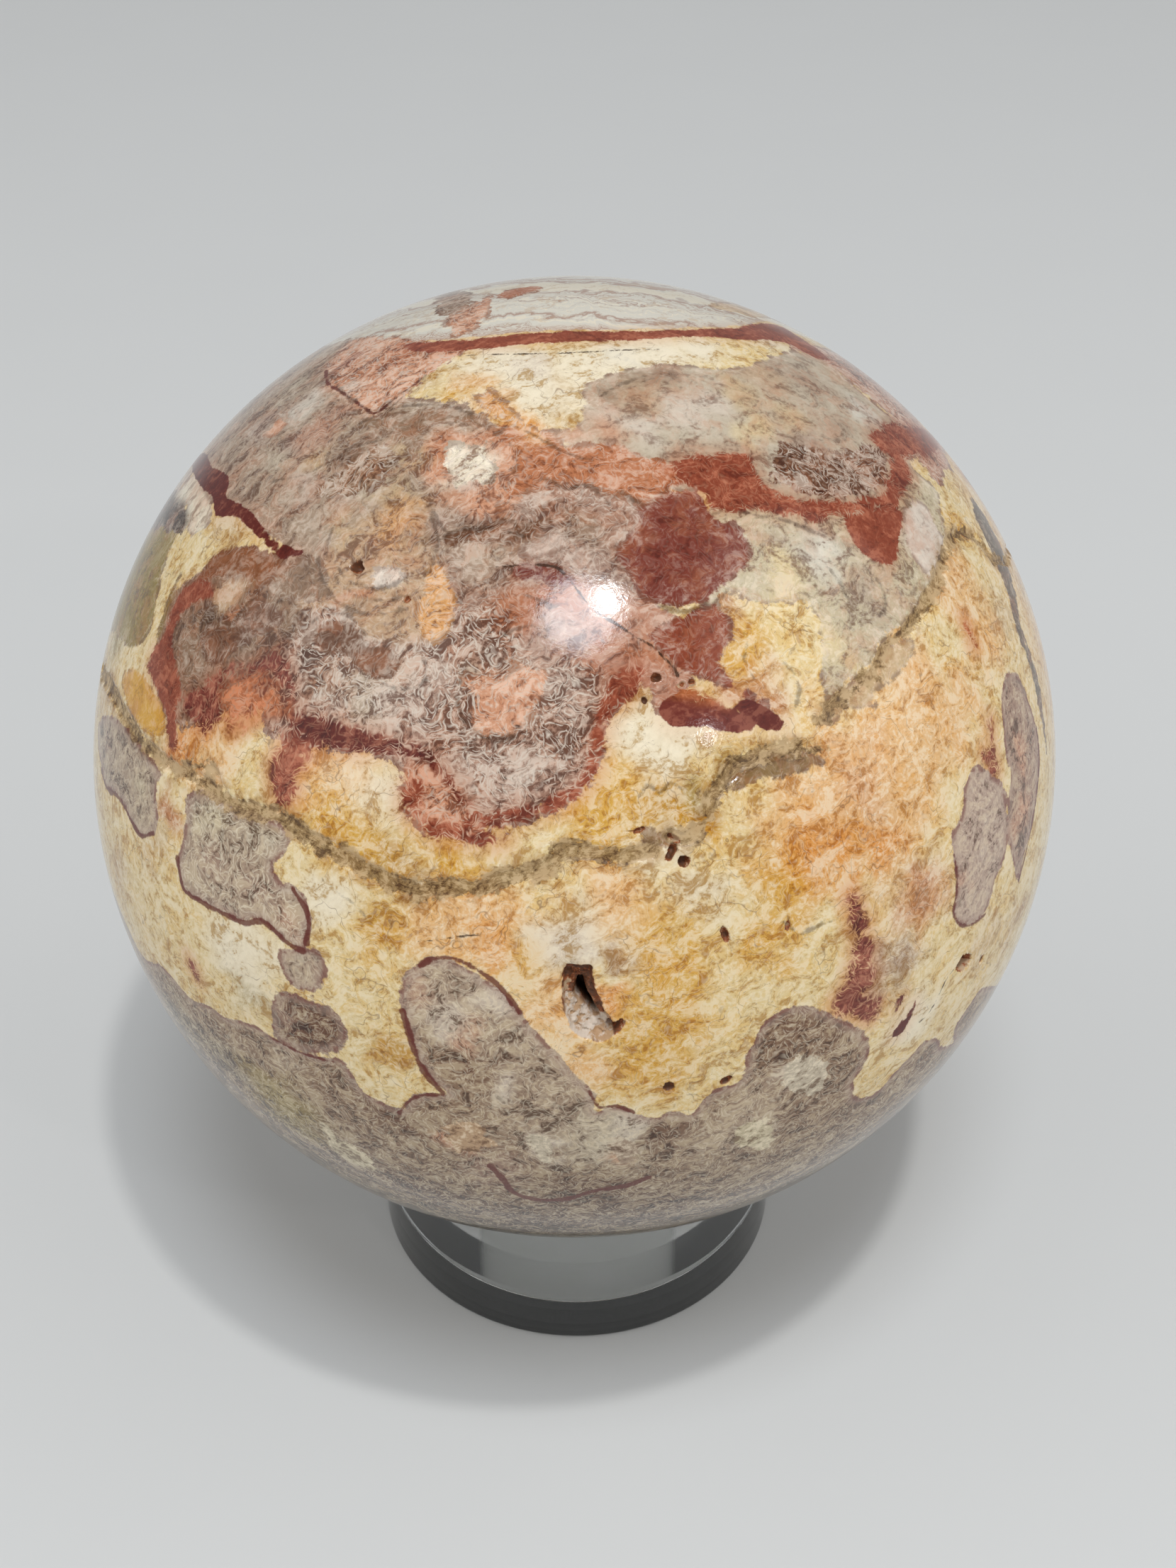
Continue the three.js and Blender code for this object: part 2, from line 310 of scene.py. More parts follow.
# Windows and chips in the masses
DETAILS = [
    ("ivory", 0.75, [
        (632, 634), (648, 622), (662, 632), (684, 628), (694, 648), (700, 668), (684, 684), (662, 680),
        (644, 690), (636, 668), (622, 656)]),
    ("frost", 0.6, [(522, 818), (536, 802), (560, 800), (573, 812), (566, 826), (542, 832), (526, 828)]),
    ("taupe", 0.5, [
        (616, 420), (632, 412), (655, 410), (668, 418), (662, 432), (648, 442), (628, 446), (614, 438)]),
    ("salmon", 0.6, [
        (632, 448), (650, 440), (675, 425), (692, 418), (690, 440), (672, 462), (650, 474), (636, 470)]),
    ("rust", 0.2, [(700, 416), (722, 408), (758, 403), (764, 408), (740, 415), (712, 422)]),
    ("sand", 0.3, [
        (1000, 428), (1030, 428), (1065, 438), (1088, 447), (1070, 449), (1035, 441), (1005, 434)]),
    ("umber", 0.15, [
        (280, 905), (290, 882), (317, 876), (336, 870), (348, 853), (366, 843), (388, 853), (398, 868),
        (391, 886), (366, 896), (348, 908), (329, 920), (311, 933), (302, 937), (289, 927), (282, 917)]),
    ("umber", 0.2, [
        (425, 902), (440, 890), (449, 874), (468, 872), (486, 868), (502, 880), (514, 902), (521, 917),
        (542, 914), (560, 923), (563, 945), (551, 957), (523, 958), (500, 935), (483, 917), (462, 922),
        (443, 911)]),
    ("taupe", 0.2, [
        (395, 800), (412, 792), (440, 783), (458, 797), (468, 822), (474, 842), (450, 846), (430, 852),
        (410, 845), (388, 842), (370, 835), (388, 815)]),
    ("umber", 0.3, [
        (631, 753), (652, 744), (674, 749), (698, 738), (732, 735), (760, 729), (782, 732), (775, 744),
        (751, 757), (726, 766), (695, 769), (668, 766), (646, 767), (634, 766)]),
    ("taupe", 0.2, [
        (500, 600), (530, 588), (560, 585), (600, 575), (640, 573), (668, 580), (690, 596), (670, 602),
        (630, 598), (600, 606), (596, 640), (585, 655), (570, 640), (560, 612), (530, 606)]),
    ("taupe", 0.7, [
        (440, 690), (470, 672), (510, 640), (540, 625), (560, 640), (552, 668), (520, 690), (490, 700),
        (460, 705)]),
    ("amber", 0.05, [
        (285, 808), (305, 780), (335, 771), (366, 772), (392, 784), (402, 797), (384, 815), (362, 830),
        (335, 815), (311, 812), (292, 820), (268, 836), (255, 846), (262, 826)]),
    ("mauve", 0.5, [
        (732, 700), (775, 688), (820, 684), (860, 698), (900, 712), (895, 745), (870, 735), (830, 715),
        (790, 705), (750, 725), (735, 715)]),
    ("garnet", 0.1, [
        (898, 717), (914, 708), (938, 695), (969, 688), (991, 698), (1009, 732), (1040, 741), (1055, 763),
        (1057, 790), (1046, 806), (1031, 818), (1015, 838), (985, 852), (945, 855), (905, 842),
        (886, 808), (868, 784), (880, 763), (895, 738)]),
    ("brick", 0.15, [
        (915, 895), (935, 880), (960, 868), (991, 853), (1018, 856), (1031, 880), (1028, 910),
        (1016, 930), (1020, 945), (1040, 960), (1062, 978), (1085, 990), (1102, 1010), (1080, 1000),
        (1050, 985), (1020, 968), (985, 955), (960, 945), (940, 925), (922, 910)]),
    ("plum", 0.1, [
        (722, 796), (750, 792), (782, 798), (802, 812), (824, 830), (790, 828), (760, 823), (735, 821),
        (722, 812)]),
    ("frost", 0.0, [
        (1278, 760), (1276, 724), (1290, 706), (1310, 718), (1322, 745), (1333, 766), (1326, 795),
        (1312, 815), (1300, 800), (1288, 785)]),
    ("khaki", 0.1, [
        (1018, 1108), (1035, 1082), (1055, 1068), (1080, 1062), (1110, 1058), (1150, 1062), (1165, 1075),
        (1140, 1085), (1110, 1095), (1080, 1100), (1050, 1112), (1035, 1120), (1022, 1116)]),
    ("sand", 0.1, [
        (1163, 1010), (1165, 990), (1185, 975), (1210, 958), (1238, 945), (1240, 925), (1268, 903),
        (1290, 905), (1282, 935), (1255, 960), (1235, 975), (1235, 995), (1215, 1000), (1190, 1003),
        (1180, 1015), (1168, 1022)]),
    ("khaki", 0.1, [
        (902, 1170), (923, 1167), (945, 1175), (958, 1190), (951, 1200), (940, 1195), (920, 1198),
        (909, 1192)]),
    ("slate_brown", 0.1, [
        (1369, 700), (1385, 722), (1399, 746), (1414, 775), (1425, 808), (1433, 842), (1440, 880),
        (1450, 912), (1461, 945), (1469, 985), (1474, 1025), (1477, 1068), (1472, 1030), (1464, 990),
        (1455, 950), (1444, 915), (1433, 883), (1424, 846), (1414, 815), (1402, 785), (1390, 758),
        (1376, 730)]),
    ("fawn", 0.3, [(300, 830), (330, 818), (356, 822), (345, 838), (330, 856), (312, 866), (300, 850)]),
    ("gold", 0.1, [
        (172, 955), (191, 941), (204, 951), (213, 970), (226, 988), (233, 1013), (230, 1038), (212, 1038),
        (196, 1025), (184, 1008), (176, 982)]),
    ("ivory", 0.3, [
        (243, 705), (262, 680), (278, 668), (288, 690), (298, 712), (296, 735), (280, 752), (266, 752),
        (262, 730), (262, 712)]),
    ("bark", 0.2, [
        (205, 750), (225, 715), (245, 690), (262, 705), (268, 730), (262, 752), (240, 752), (225, 745)]),
    ("honey", 0.5, [
        (600, 800), (622, 790), (630, 812), (643, 840), (642, 865), (636, 885), (620, 903), (606, 908),
        (592, 892), (586, 870), (590, 845), (598, 828)]),
    ("salmon", 0.6, [
        (668, 984), (652, 970), (655, 955), (683, 950), (700, 958), (720, 950), (732, 933), (745, 940),
        (769, 945), (775, 960), (769, 976), (757, 994), (748, 1013), (730, 1028), (714, 1040),
        (692, 1040), (668, 1031), (660, 1016), (668, 1002)]),
    ("umber", 0.75, [
        (1095, 640), (1130, 628), (1180, 640), (1225, 625), (1248, 645), (1252, 668), (1240, 690),
        (1200, 702), (1150, 700), (1110, 690), (1085, 672)]),
    ("honey", 0.5, [
        (672, 560), (690, 552), (712, 566), (735, 590), (760, 606), (775, 626), (752, 640), (730, 632),
        (722, 606), (700, 590), (682, 580)]),
    ("terracotta", 0.35, [
        (700, 600), (740, 600), (770, 620), (806, 630), (868, 624), (898, 640), (945, 652), (975, 668),
        (988, 690), (960, 682), (930, 698), (911, 712), (883, 702), (852, 697), (828, 686), (800, 680),
        (775, 686), (732, 700), (700, 716), (712, 690), (728, 660), (722, 632)]),
    ("salmon", 0.2, [(370, 612), (385, 600), (395, 588), (405, 598), (385, 616)]),
    ("lilac", 0.2, [(735, 775), (760, 758), (790, 752), (800, 770), (775, 782), (750, 788)]),
]

# Red jasper. The second value is here how softly a patch ends, from 0, sharp, to 1.
JASPERS = [
    ("brick", 0.1, [
        (560, 488), (655, 480), (720, 472), (800, 467), (880, 467), (960, 465), (1040, 462), (1092, 457),
        (1125, 474), (1172, 508), (1145, 503), (1112, 484), (1060, 480), (990, 475), (900, 480),
        (820, 482), (740, 486), (680, 493), (600, 498)]),
    ("maroon", 0.0, [
        (272, 655), (280, 642), (292, 640), (300, 660), (322, 672), (322, 690), (318, 701), (336, 710),
        (355, 722), (368, 738), (383, 758), (405, 771), (430, 778), (415, 788), (396, 786), (374, 769),
        (353, 745), (331, 727), (306, 728), (300, 702), (285, 688)]),
    ("brick", 0.2, [
        (270, 822), (252, 837), (240, 865), (232, 892), (214, 920), (208, 945), (216, 966), (226, 985),
        (234, 1008), (236, 1043), (242, 1060), (251, 1050), (250, 1022), (247, 1005), (254, 985),
        (256, 960), (248, 940), (243, 915), (244, 890), (256, 868), (278, 850), (305, 838), (300, 822)]),
    ("garnet", 0.5, [
        (256, 1002), (262, 980), (280, 968), (300, 950), (320, 942), (352, 937), (380, 922), (394, 912),
        (402, 930), (412, 955), (416, 980), (404, 985), (392, 962), (370, 950), (345, 950), (322, 962),
        (310, 985), (318, 1010), (300, 1024), (285, 1036), (270, 1012)]),
    ("rust", 1.0, [
        (318, 1010), (310, 985), (322, 962), (345, 950), (370, 950), (392, 962), (404, 985), (416, 1005),
        (395, 1008), (375, 1010), (350, 1022), (325, 1030)]),
    ("maroon", 0.3, [
        (412, 982), (430, 1003), (458, 1012), (490, 1022), (525, 1033), (560, 1043), (590, 1052),
        (612, 1062), (628, 1082), (642, 1100), (655, 1122), (660, 1138), (645, 1128), (628, 1105),
        (608, 1085), (585, 1072), (540, 1062), (500, 1062), (470, 1055), (440, 1050), (420, 1040),
        (410, 1015)]),
    ("brick", 0.5, [
        (412, 1030), (440, 1048), (442, 1060), (430, 1078), (420, 1100), (416, 1125), (402, 1137),
        (388, 1133), (381, 1105), (380, 1078), (392, 1052)]),
    ("brick", 0.3, [
        (868, 945), (905, 940), (902, 970), (884, 990), (866, 1004), (857, 1025), (850, 1053),
        (844, 1080), (834, 1105), (812, 1128), (788, 1146), (757, 1155), (732, 1161), (702, 1167),
        (683, 1171), (667, 1160), (660, 1142), (668, 1142), (684, 1153), (700, 1143), (726, 1140),
        (751, 1134), (782, 1124), (806, 1108), (824, 1088), (830, 1066), (836, 1042), (839, 1018),
        (845, 998), (855, 980), (858, 962)]),
    ("brick", 0.4, [
        (592, 1152), (622, 1162), (649, 1163), (671, 1173), (692, 1179), (717, 1182), (713, 1191),
        (692, 1194), (668, 1191), (640, 1187), (615, 1184), (600, 1172), (580, 1162), (570, 1145),
        (566, 1125), (574, 1103), (588, 1094), (600, 1108), (590, 1130)]),
    ("brick", 0.3, [
        (945, 652), (991, 640), (1030, 637), (1062, 643), (1066, 667), (1080, 684), (1100, 696),
        (1123, 702), (1148, 706), (1172, 704), (1197, 706), (1222, 701), (1240, 700), (1248, 684),
        (1255, 665), (1255, 646), (1240, 632), (1226, 618), (1240, 604), (1258, 593), (1276, 602),
        (1302, 604), (1325, 622), (1316, 642), (1295, 643), (1276, 647), (1286, 664), (1284, 688),
        (1271, 702), (1268, 722), (1240, 722), (1215, 724), (1182, 724), (1160, 738), (1135, 733),
        (1092, 724), (1062, 720), (1031, 724), (1004, 716), (988, 695), (969, 685), (950, 672)]),
    ("brick", 0.1, [
        (1191, 735), (1215, 723), (1240, 720), (1268, 720), (1273, 738), (1268, 763), (1266, 787),
        (1252, 801), (1237, 793), (1215, 778), (1200, 757)]),
    ("plum", 0.0, [
        (931, 1000), (940, 981), (960, 986), (1003, 993), (1036, 1003), (1072, 1029), (1029, 1031),
        (988, 1026), (945, 1024)]),
    ("maroon", 0.0, [
        (1034, 995), (1057, 986), (1079, 998), (1109, 1021), (1094, 1031), (1072, 1028), (1046, 1005)]),
    ("rust", 0.2, [
        (945, 982), (962, 973), (985, 974), (1006, 984), (1030, 996), (1003, 992), (970, 986)]),
    ("garnet", 0.5, [
        (1198, 1262), (1209, 1260), (1216, 1276), (1219, 1290), (1226, 1303), (1222, 1318), (1236, 1336),
        (1229, 1353), (1238, 1368), (1234, 1386), (1219, 1400), (1240, 1409), (1243, 1416), (1229, 1441),
        (1214, 1441), (1200, 1436), (1185, 1433), (1174, 1420), (1178, 1404), (1191, 1389), (1197, 1367),
        (1208, 1357), (1201, 1339), (1208, 1324), (1199, 1311), (1197, 1281)]),
    ("maroon", 0.1, [(1262, 1426), (1265, 1413), (1275, 1403), (1272, 1416), (1265, 1427)]),
    ("maroon", 0.0, [
        (1258, 1463), (1265, 1447), (1280, 1432), (1289, 1412), (1290, 1426), (1280, 1445), (1271, 1460)]),
    ("brick", 0.4, [
        (1397, 1008), (1401, 1022), (1402, 1045), (1407, 1068), (1410, 1090), (1402, 1094), (1390, 1078),
        (1384, 1060), (1388, 1056), (1396, 1068), (1396, 1045), (1394, 1025)]),
    ("rust", 0.4, [(1357, 871), (1366, 877), (1375, 899), (1377, 914), (1369, 908), (1362, 890)]),
    ("brick", 0.3, [
        (264, 1346), (268, 1350), (273, 1358), (280, 1372), (280, 1384), (274, 1376), (266, 1360)]),
]

# Banded agate, as a colour, how flecked it is, and its outline
AGATES = [
    ("ash", 0.4, [
        (140, 1018), (138, 1045), (143, 1080), (151, 1111), (163, 1120), (175, 1136), (185, 1160),
        (194, 1176), (206, 1181), (219, 1173), (223, 1154), (220, 1123), (223, 1103), (230, 1094),
        (222, 1080), (206, 1062), (188, 1037), (168, 1018), (154, 1008)]),
    ("ash", 0.7, [
        (264, 1122), (290, 1116), (320, 1133), (360, 1148), (395, 1162), (412, 1183), (402, 1205),
        (385, 1222), (395, 1245), (420, 1252), (435, 1275), (438, 1305), (434, 1325), (428, 1341),
        (406, 1331), (388, 1316), (368, 1298), (342, 1300), (320, 1290), (298, 1280), (274, 1268),
        (259, 1257), (253, 1237), (250, 1213), (257, 1190), (262, 1160)]),
    ("ash", 0.4, [
        (391, 1345), (415, 1338), (440, 1338), (456, 1349), (461, 1367), (456, 1386), (443, 1398),
        (425, 1396), (406, 1384), (397, 1367)]),
    ("umber", 0.4, [
        (382, 1413), (397, 1400), (415, 1403), (446, 1415), (474, 1428), (489, 1450), (488, 1472),
        (470, 1484), (440, 1486), (409, 1476), (388, 1463), (384, 1435)]),
    ("lilac", 0.3, [
        (1378, 1080), (1397, 1093), (1412, 1105), (1419, 1130), (1421, 1160), (1422, 1191), (1413, 1219),
        (1404, 1243), (1397, 1268), (1388, 1290), (1372, 1302), (1354, 1304), (1345, 1290), (1348, 1265),
        (1350, 1240), (1345, 1206), (1343, 1179), (1357, 1151), (1360, 1114), (1366, 1095)]),
    ("mauve", 0.3, [
        (1425, 948), (1437, 954), (1446, 976), (1455, 1000), (1462, 1028), (1466, 1062), (1465, 1096),
        (1462, 1123), (1458, 1151), (1452, 1182), (1444, 1206), (1437, 1242), (1430, 1222), (1424, 1191),
        (1421, 1160), (1423, 1123), (1425, 1093), (1418, 1059), (1415, 1028), (1412, 997), (1414, 966),
        (1418, 953)]),
    ("taupe", 0.3, [
        (1345, 1468), (1350, 1444), (1362, 1426), (1377, 1404), (1388, 1393), (1410, 1390), (1400, 1430),
        (1370, 1470)]),
]

# The agate mass that the ball's underside is made of: its upper edge in front, from left to right, and then
# the rest of its edge round the back as azimuth and elevation in degrees.
UNDERSIDE_FRONT = [
    (202, 1350), (222, 1358), (243, 1379), (258, 1398), (274, 1412), (295, 1419), (317, 1434),
    (342, 1441), (366, 1450), (388, 1466), (420, 1480), (450, 1490), (483, 1494), (502, 1527),
    (529, 1551), (560, 1563), (569, 1562), (578, 1549), (600, 1542), (628, 1543), (609, 1524),
    (594, 1503), (585, 1484), (577, 1459), (571, 1441), (565, 1419), (563, 1401), (570, 1379),
    (586, 1362), (609, 1351), (637, 1355), (662, 1366), (685, 1382), (707, 1397), (725, 1415),
    (740, 1437), (758, 1458), (777, 1477), (795, 1495), (813, 1519), (832, 1534), (840, 1552),
    (840, 1569), (855, 1562), (877, 1562), (896, 1570), (923, 1577), (942, 1569), (960, 1568),
    (972, 1573), (984, 1562), (1000, 1543), (1022, 1533), (1040, 1527), (1050, 1513), (1051, 1493),
    (1058, 1478), (1068, 1456), (1083, 1438), (1105, 1424), (1130, 1418), (1160, 1424), (1185, 1436),
    (1203, 1446), (1218, 1458), (1227, 1475), (1223, 1493), (1212, 1512), (1204, 1527), (1206, 1546),
    (1216, 1549), (1235, 1543), (1253, 1524), (1266, 1509), (1281, 1493), (1296, 1477), (1310, 1466),
    (1325, 1465), (1328, 1478),
]
UNDERSIDE_BACK = [
    (-38, -14), (-33, -18), (-27, -16), (-23, -10), (-17, -5), (-10, -4), (-5, -9), (-3, -16), (3, -20),
    (10, -19), (15, -13), (20, -6), (27, -2), (33, -6), (35, -13), (39, -19), (46, -21), (53, -17),
    (58, -19), (66, -25), (72, -22), (77, -13), (82, -5), (89, 0), (96, -1), (100, -8), (103, -16),
    (110, -21), (118, -20), (122, -14), (128, -12), (133, -18), (140, -21), (146, -14), (150, -6),
    (157, -2), (164, -4), (168, -11), (175, -16), (182, -13), (188, -7), (196, -3), (204, -3),
]
# Soft tints in the underside, then in the other agate. Among the underside's, the bark spots and the large
# umber spots along its lower edge are painted shade as well as the agate's own darker colour.
UNDERSIDE_TINTS_AND_SHADE = {
    "umber": [
        (480, 1690, 60), (960, 1740, 60), (340, 1595, 50), (1250, 1640, 60), (655, 1500, 20),
        (705, 1488, 20), (735, 1545, 18), (590, 1592, 24), (950, 1605, 24), (1180, 1470, 20),
        (820, 1570, 20), (1120, 1440, 40), (1210, 1620, 44), (620, 1690, 60), (760, 1730, 80),
        (900, 1705, 60), (1000, 1700, 50), (550, 1565, 36), (830, 1680, 30), (440, 1450, 30),
    ],
    # These bark spots lie on the ball's lower edge: painted shade.
    "bark": [(640, 1745, 60), (800, 1765, 80), (1100, 1700, 60)],
    "frost": [
        (640, 1440, 24), (705, 1535, 18), (765, 1620, 20), (690, 1400, 22), (890, 1590, 24),
        (1120, 1515, 16), (1060, 1600, 16),
    ],
    "salmon": [(665, 1462, 18), (870, 1628, 16), (640, 1610, 20)],
    "ash": [
        (640, 1400, 60), (720, 1480, 50), (760, 1560, 60), (1060, 1560, 44), (1010, 1610, 50),
        (400, 1490, 24),
    ],
    "rose": [(600, 1400, 20)],
    "taupe": [
        (590, 1480, 34), (330, 1540, 30), (1160, 1500, 50), (1160, 1560, 40), (1290, 1520, 30),
        (560, 1620, 50), (950, 1650, 50), (470, 1560, 26),
    ],
    "fawn": [(560, 1500, 20)],
    "pearl": [(850, 1600, 60)],
    "olive": [(400, 1560, 60)],
    "slate_brown": [(255, 1440, 44), (310, 1490, 40), (420, 1640, 50), (1300, 1560, 40)],
    "mauve": [(700, 1650, 40)],
}

AGATE_TINTS = {
    "chalk": [(310, 1150, 30), (280, 1160, 20), (200, 1120, 20)],
    "pearl": [(370, 1165, 24), (420, 1350, 12)],
    "mauve": [(300, 1230, 30), (360, 1250, 24), (150, 1050, 14), (440, 1375, 16), (400, 1430, 16)],
    "rose": [(400, 1300, 20)],
    "sand": [(400, 1225, 14)],
    "ash": [(165, 1060, 20)],
    "umber": [(430, 1440, 24)],
    "lilac": [(1385, 1200, 36), (1400, 1130, 24)],
    "salmon": [(1350, 1250, 14), (1440, 1060, 24), (1440, 1150, 24)],
    "frost": [(1390, 1190, 14)],
}

# Pale eyes in the agate
EYES = [
    ("pearl", 0.5, [
        (1104, 1518), (1112, 1500), (1130, 1490), (1152, 1494), (1167, 1508), (1166, 1528), (1150, 1543),
        (1126, 1545), (1110, 1535)]),
    ("chalk", 0.3, [
        (1037, 1600), (1050, 1588), (1072, 1580), (1090, 1586), (1093, 1604), (1083, 1618), (1062, 1622),
        (1042, 1614)]),
    ("fawn", 0.3, [
        (628, 1600), (636, 1588), (655, 1582), (680, 1588), (692, 1600), (690, 1618), (672, 1626),
        (648, 1622), (634, 1614)]),
    ("pearl", 0.3, [
        (745, 1604), (757, 1600), (768, 1612), (782, 1622), (780, 1636), (765, 1640), (752, 1625)]),
    ("ash", 0.3, [
        (858, 1612), (870, 1606), (885, 1612), (898, 1622), (890, 1636), (872, 1636), (862, 1626)]),
    ("chalk", 0.3, [
        (458, 1588), (470, 1600), (490, 1612), (510, 1625), (532, 1640), (520, 1650), (495, 1640),
        (475, 1625), (462, 1608)]),
]

# The white band over the top: its lower edge in front from left to right, then its other edge behind
BAND_FRONT = [
    (430, 500), (480, 484), (540, 483), (600, 481), (660, 476), (720, 470), (800, 466), (880, 465),
    (960, 463), (1040, 460), (1092, 455), (1125, 472),
]
BAND_BACK = [
    (36, 50), (44, 44), (56, 40), (68, 42), (80, 38), (94, 40), (106, 36), (118, 38), (130, 40),
    (142, 44),
]

# Lines: half their width in millimetres, and their points
SEAMS = [
    (0.62, [
        (143, 942), (154, 966), (178, 1013), (197, 1043), (222, 1065), (243, 1083), (262, 1089),
        (292, 1108), (317, 1128), (342, 1139), (366, 1145), (391, 1152), (415, 1170), (440, 1185),
        (470, 1201), (489, 1211), (520, 1229), (545, 1241), (563, 1250), (588, 1256), (625, 1251),
        (668, 1256), (689, 1250), (708, 1240), (751, 1231), (769, 1225), (782, 1210), (797, 1200),
        (843, 1204), (886, 1208), (920, 1199)]),
    (0.58, [
        (945, 1180), (965, 1185), (985, 1172), (998, 1150), (1003, 1125), (1020, 1105), (1037, 1083),
        (1060, 1068), (1102, 1058), (1135, 1057), (1157, 1058)]),
    (0.5, [
        (1163, 1012), (1178, 992), (1197, 978), (1215, 963), (1234, 949), (1242, 927), (1255, 909),
        (1270, 900), (1285, 880), (1297, 864), (1305, 845), (1320, 822), (1330, 792), (1336, 768),
        (1357, 750), (1380, 762), (1400, 790)]),
    (0.3, [(262, 1086), (290, 1079), (303, 1088), (312, 1108), (322, 1124)]),
]
CRACKS = [
    (0.07, [
        (700, 800), (740, 797), (782, 799), (800, 815), (815, 833), (828, 850), (848, 868), (871, 881),
        (898, 899), (920, 911), (935, 926), (951, 942), (956, 955)]),
    (0.06, [(1345, 1368), (1334, 1383), (1320, 1413), (1308, 1432), (1297, 1442)]),
    (0.05, [(590, 1328), (620, 1326), (650, 1321), (680, 1318)]),
    (0.05, [(640, 503), (700, 500), (760, 499), (820, 497), (880, 494), (930, 493)]),
]
RED_LINES = [
    (0.3, [
        (692, 1645), (708, 1662), (723, 1681), (745, 1690), (769, 1693), (797, 1692), (825, 1684),
        (846, 1678), (871, 1675), (892, 1670), (914, 1661)]),
    (0.22, [
        (250, 1210), (255, 1240), (262, 1258), (300, 1281), (320, 1291), (345, 1302), (370, 1299),
        (390, 1316), (408, 1332), (428, 1342)]),
    (0.2, [(143, 1085), (151, 1112), (165, 1122), (178, 1143), (188, 1163), (200, 1179), (216, 1175)]),
    (0.24, [(568, 1425), (574, 1447), (582, 1475), (592, 1500), (607, 1523), (626, 1543)]),
    (0.16, [(563, 1570), (580, 1551), (602, 1544), (628, 1545)]),
    (0.16, [(832, 1540), (845, 1562), (870, 1560), (895, 1570)]),
    (0.2, [(592, 1362), (610, 1352), (640, 1352), (670, 1366), (705, 1392), (735, 1430)]),
    (0.2, [(413, 1255), (430, 1280), (436, 1305), (432, 1330)]),
    (0.14, [
        (1346, 1206), (1350, 1240), (1348, 1268), (1345, 1290), (1356, 1305), (1374, 1303), (1389, 1290)]),
    (0.14, [
        (1462, 1028), (1466, 1062), (1465, 1096), (1462, 1123), (1458, 1151), (1450, 1190), (1437, 1242)]),
    (0.1, [(386, 1465), (409, 1478), (440, 1490), (470, 1498)]),
    (0.1, [
        (460, 523), (462, 540), (480, 552), (500, 566), (520, 580), (532, 582), (560, 560), (590, 538)]),
]

BROWN_LINES = [
    (0.12, [(448, 790), (456, 818), (474, 845), (502, 862), (540, 866), (575, 858)]),
    (0.1, [(470, 745), (462, 770), (462, 790)]),
    (0.1, [(606, 712), (622, 740), (632, 752)]),
    (0.12, [(468, 530), (486, 556), (510, 572), (530, 583), (552, 566), (575, 550)]),
    (0.1, [(700, 612), (722, 600), (760, 618), (800, 640), (835, 650)]),
    (0.12, [(745, 690), (768, 676), (800, 690), (830, 684), (855, 706)]),
    (0.1, [(930, 855), (960, 862), (985, 858), (1010, 848), (1030, 828)]),
    (0.1, [(725, 838), (752, 842), (775, 855), (800, 850)]),
    (0.1, [(505, 600), (530, 586), (572, 573), (628, 572), (665, 584)]),
    (0.1, [(462, 780), (470, 808), (486, 830), (516, 845), (552, 846), (588, 832), (604, 806)]),
    (0.07, [(476, 800), (490, 818), (520, 830), (550, 828), (575, 812)]),
    (0.14, [(628, 756), (645, 748), (667, 746), (701, 744), (724, 753), (745, 756)]),
    (0.08, [(600, 530), (577, 552), (549, 575), (518, 581), (490, 562)]),
    (0.1, [(840, 690), (859, 690), (880, 696), (898, 706), (915, 712), (935, 706)]),
    (0.1, [(1045, 722), (1075, 728), (1100, 733), (1130, 742), (1150, 752), (1166, 756)]),
    (0.07, [(1168, 800), (1185, 822), (1192, 838), (1205, 850)]),
    (0.07, [(1220, 800), (1240, 822), (1250, 850), (1240, 870)]),
    (0.09, [(600, 710), (612, 735), (618, 765), (612, 795)]),
    (0.08, [(845, 560), (870, 545), (905, 532), (935, 528), (960, 540)]),
    (0.06, [(380, 680), (420, 672), (450, 660), (500, 632), (530, 622)]),
    (0.07, [(438, 880), (455, 868), (486, 866), (505, 880), (520, 900), (545, 912)]),
    (0.07, [(285, 880), (310, 872), (338, 866), (352, 848), (380, 842), (400, 852)]),
    (0.06, [(700, 905), (720, 890), (745, 884), (775, 890)]),
    (0.08, [(585, 910), (600, 935), (598, 960), (570, 972), (540, 965)]),
    (0.07, [(655, 945), (645, 975), (652, 1010), (672, 1035), (700, 1046), (722, 1040)]),
    (0.06, [(1040, 880), (1055, 905), (1050, 930), (1062, 955)]),
    (0.07, [(1105, 935), (1120, 950), (1128, 975), (1120, 1000)]),
    (0.1, [(1040, 1100), (1065, 1082), (1100, 1073), (1135, 1070)]),
    (0.08, [(1105, 1300), (1118, 1310), (1130, 1318), (1150, 1308), (1180, 1296)]),
    (0.06, [(455, 1242), (480, 1262), (505, 1280), (520, 1300)]),
    (0.06, [(900, 1125), (915, 1110), (930, 1118), (945, 1105), (960, 1112)]),
]

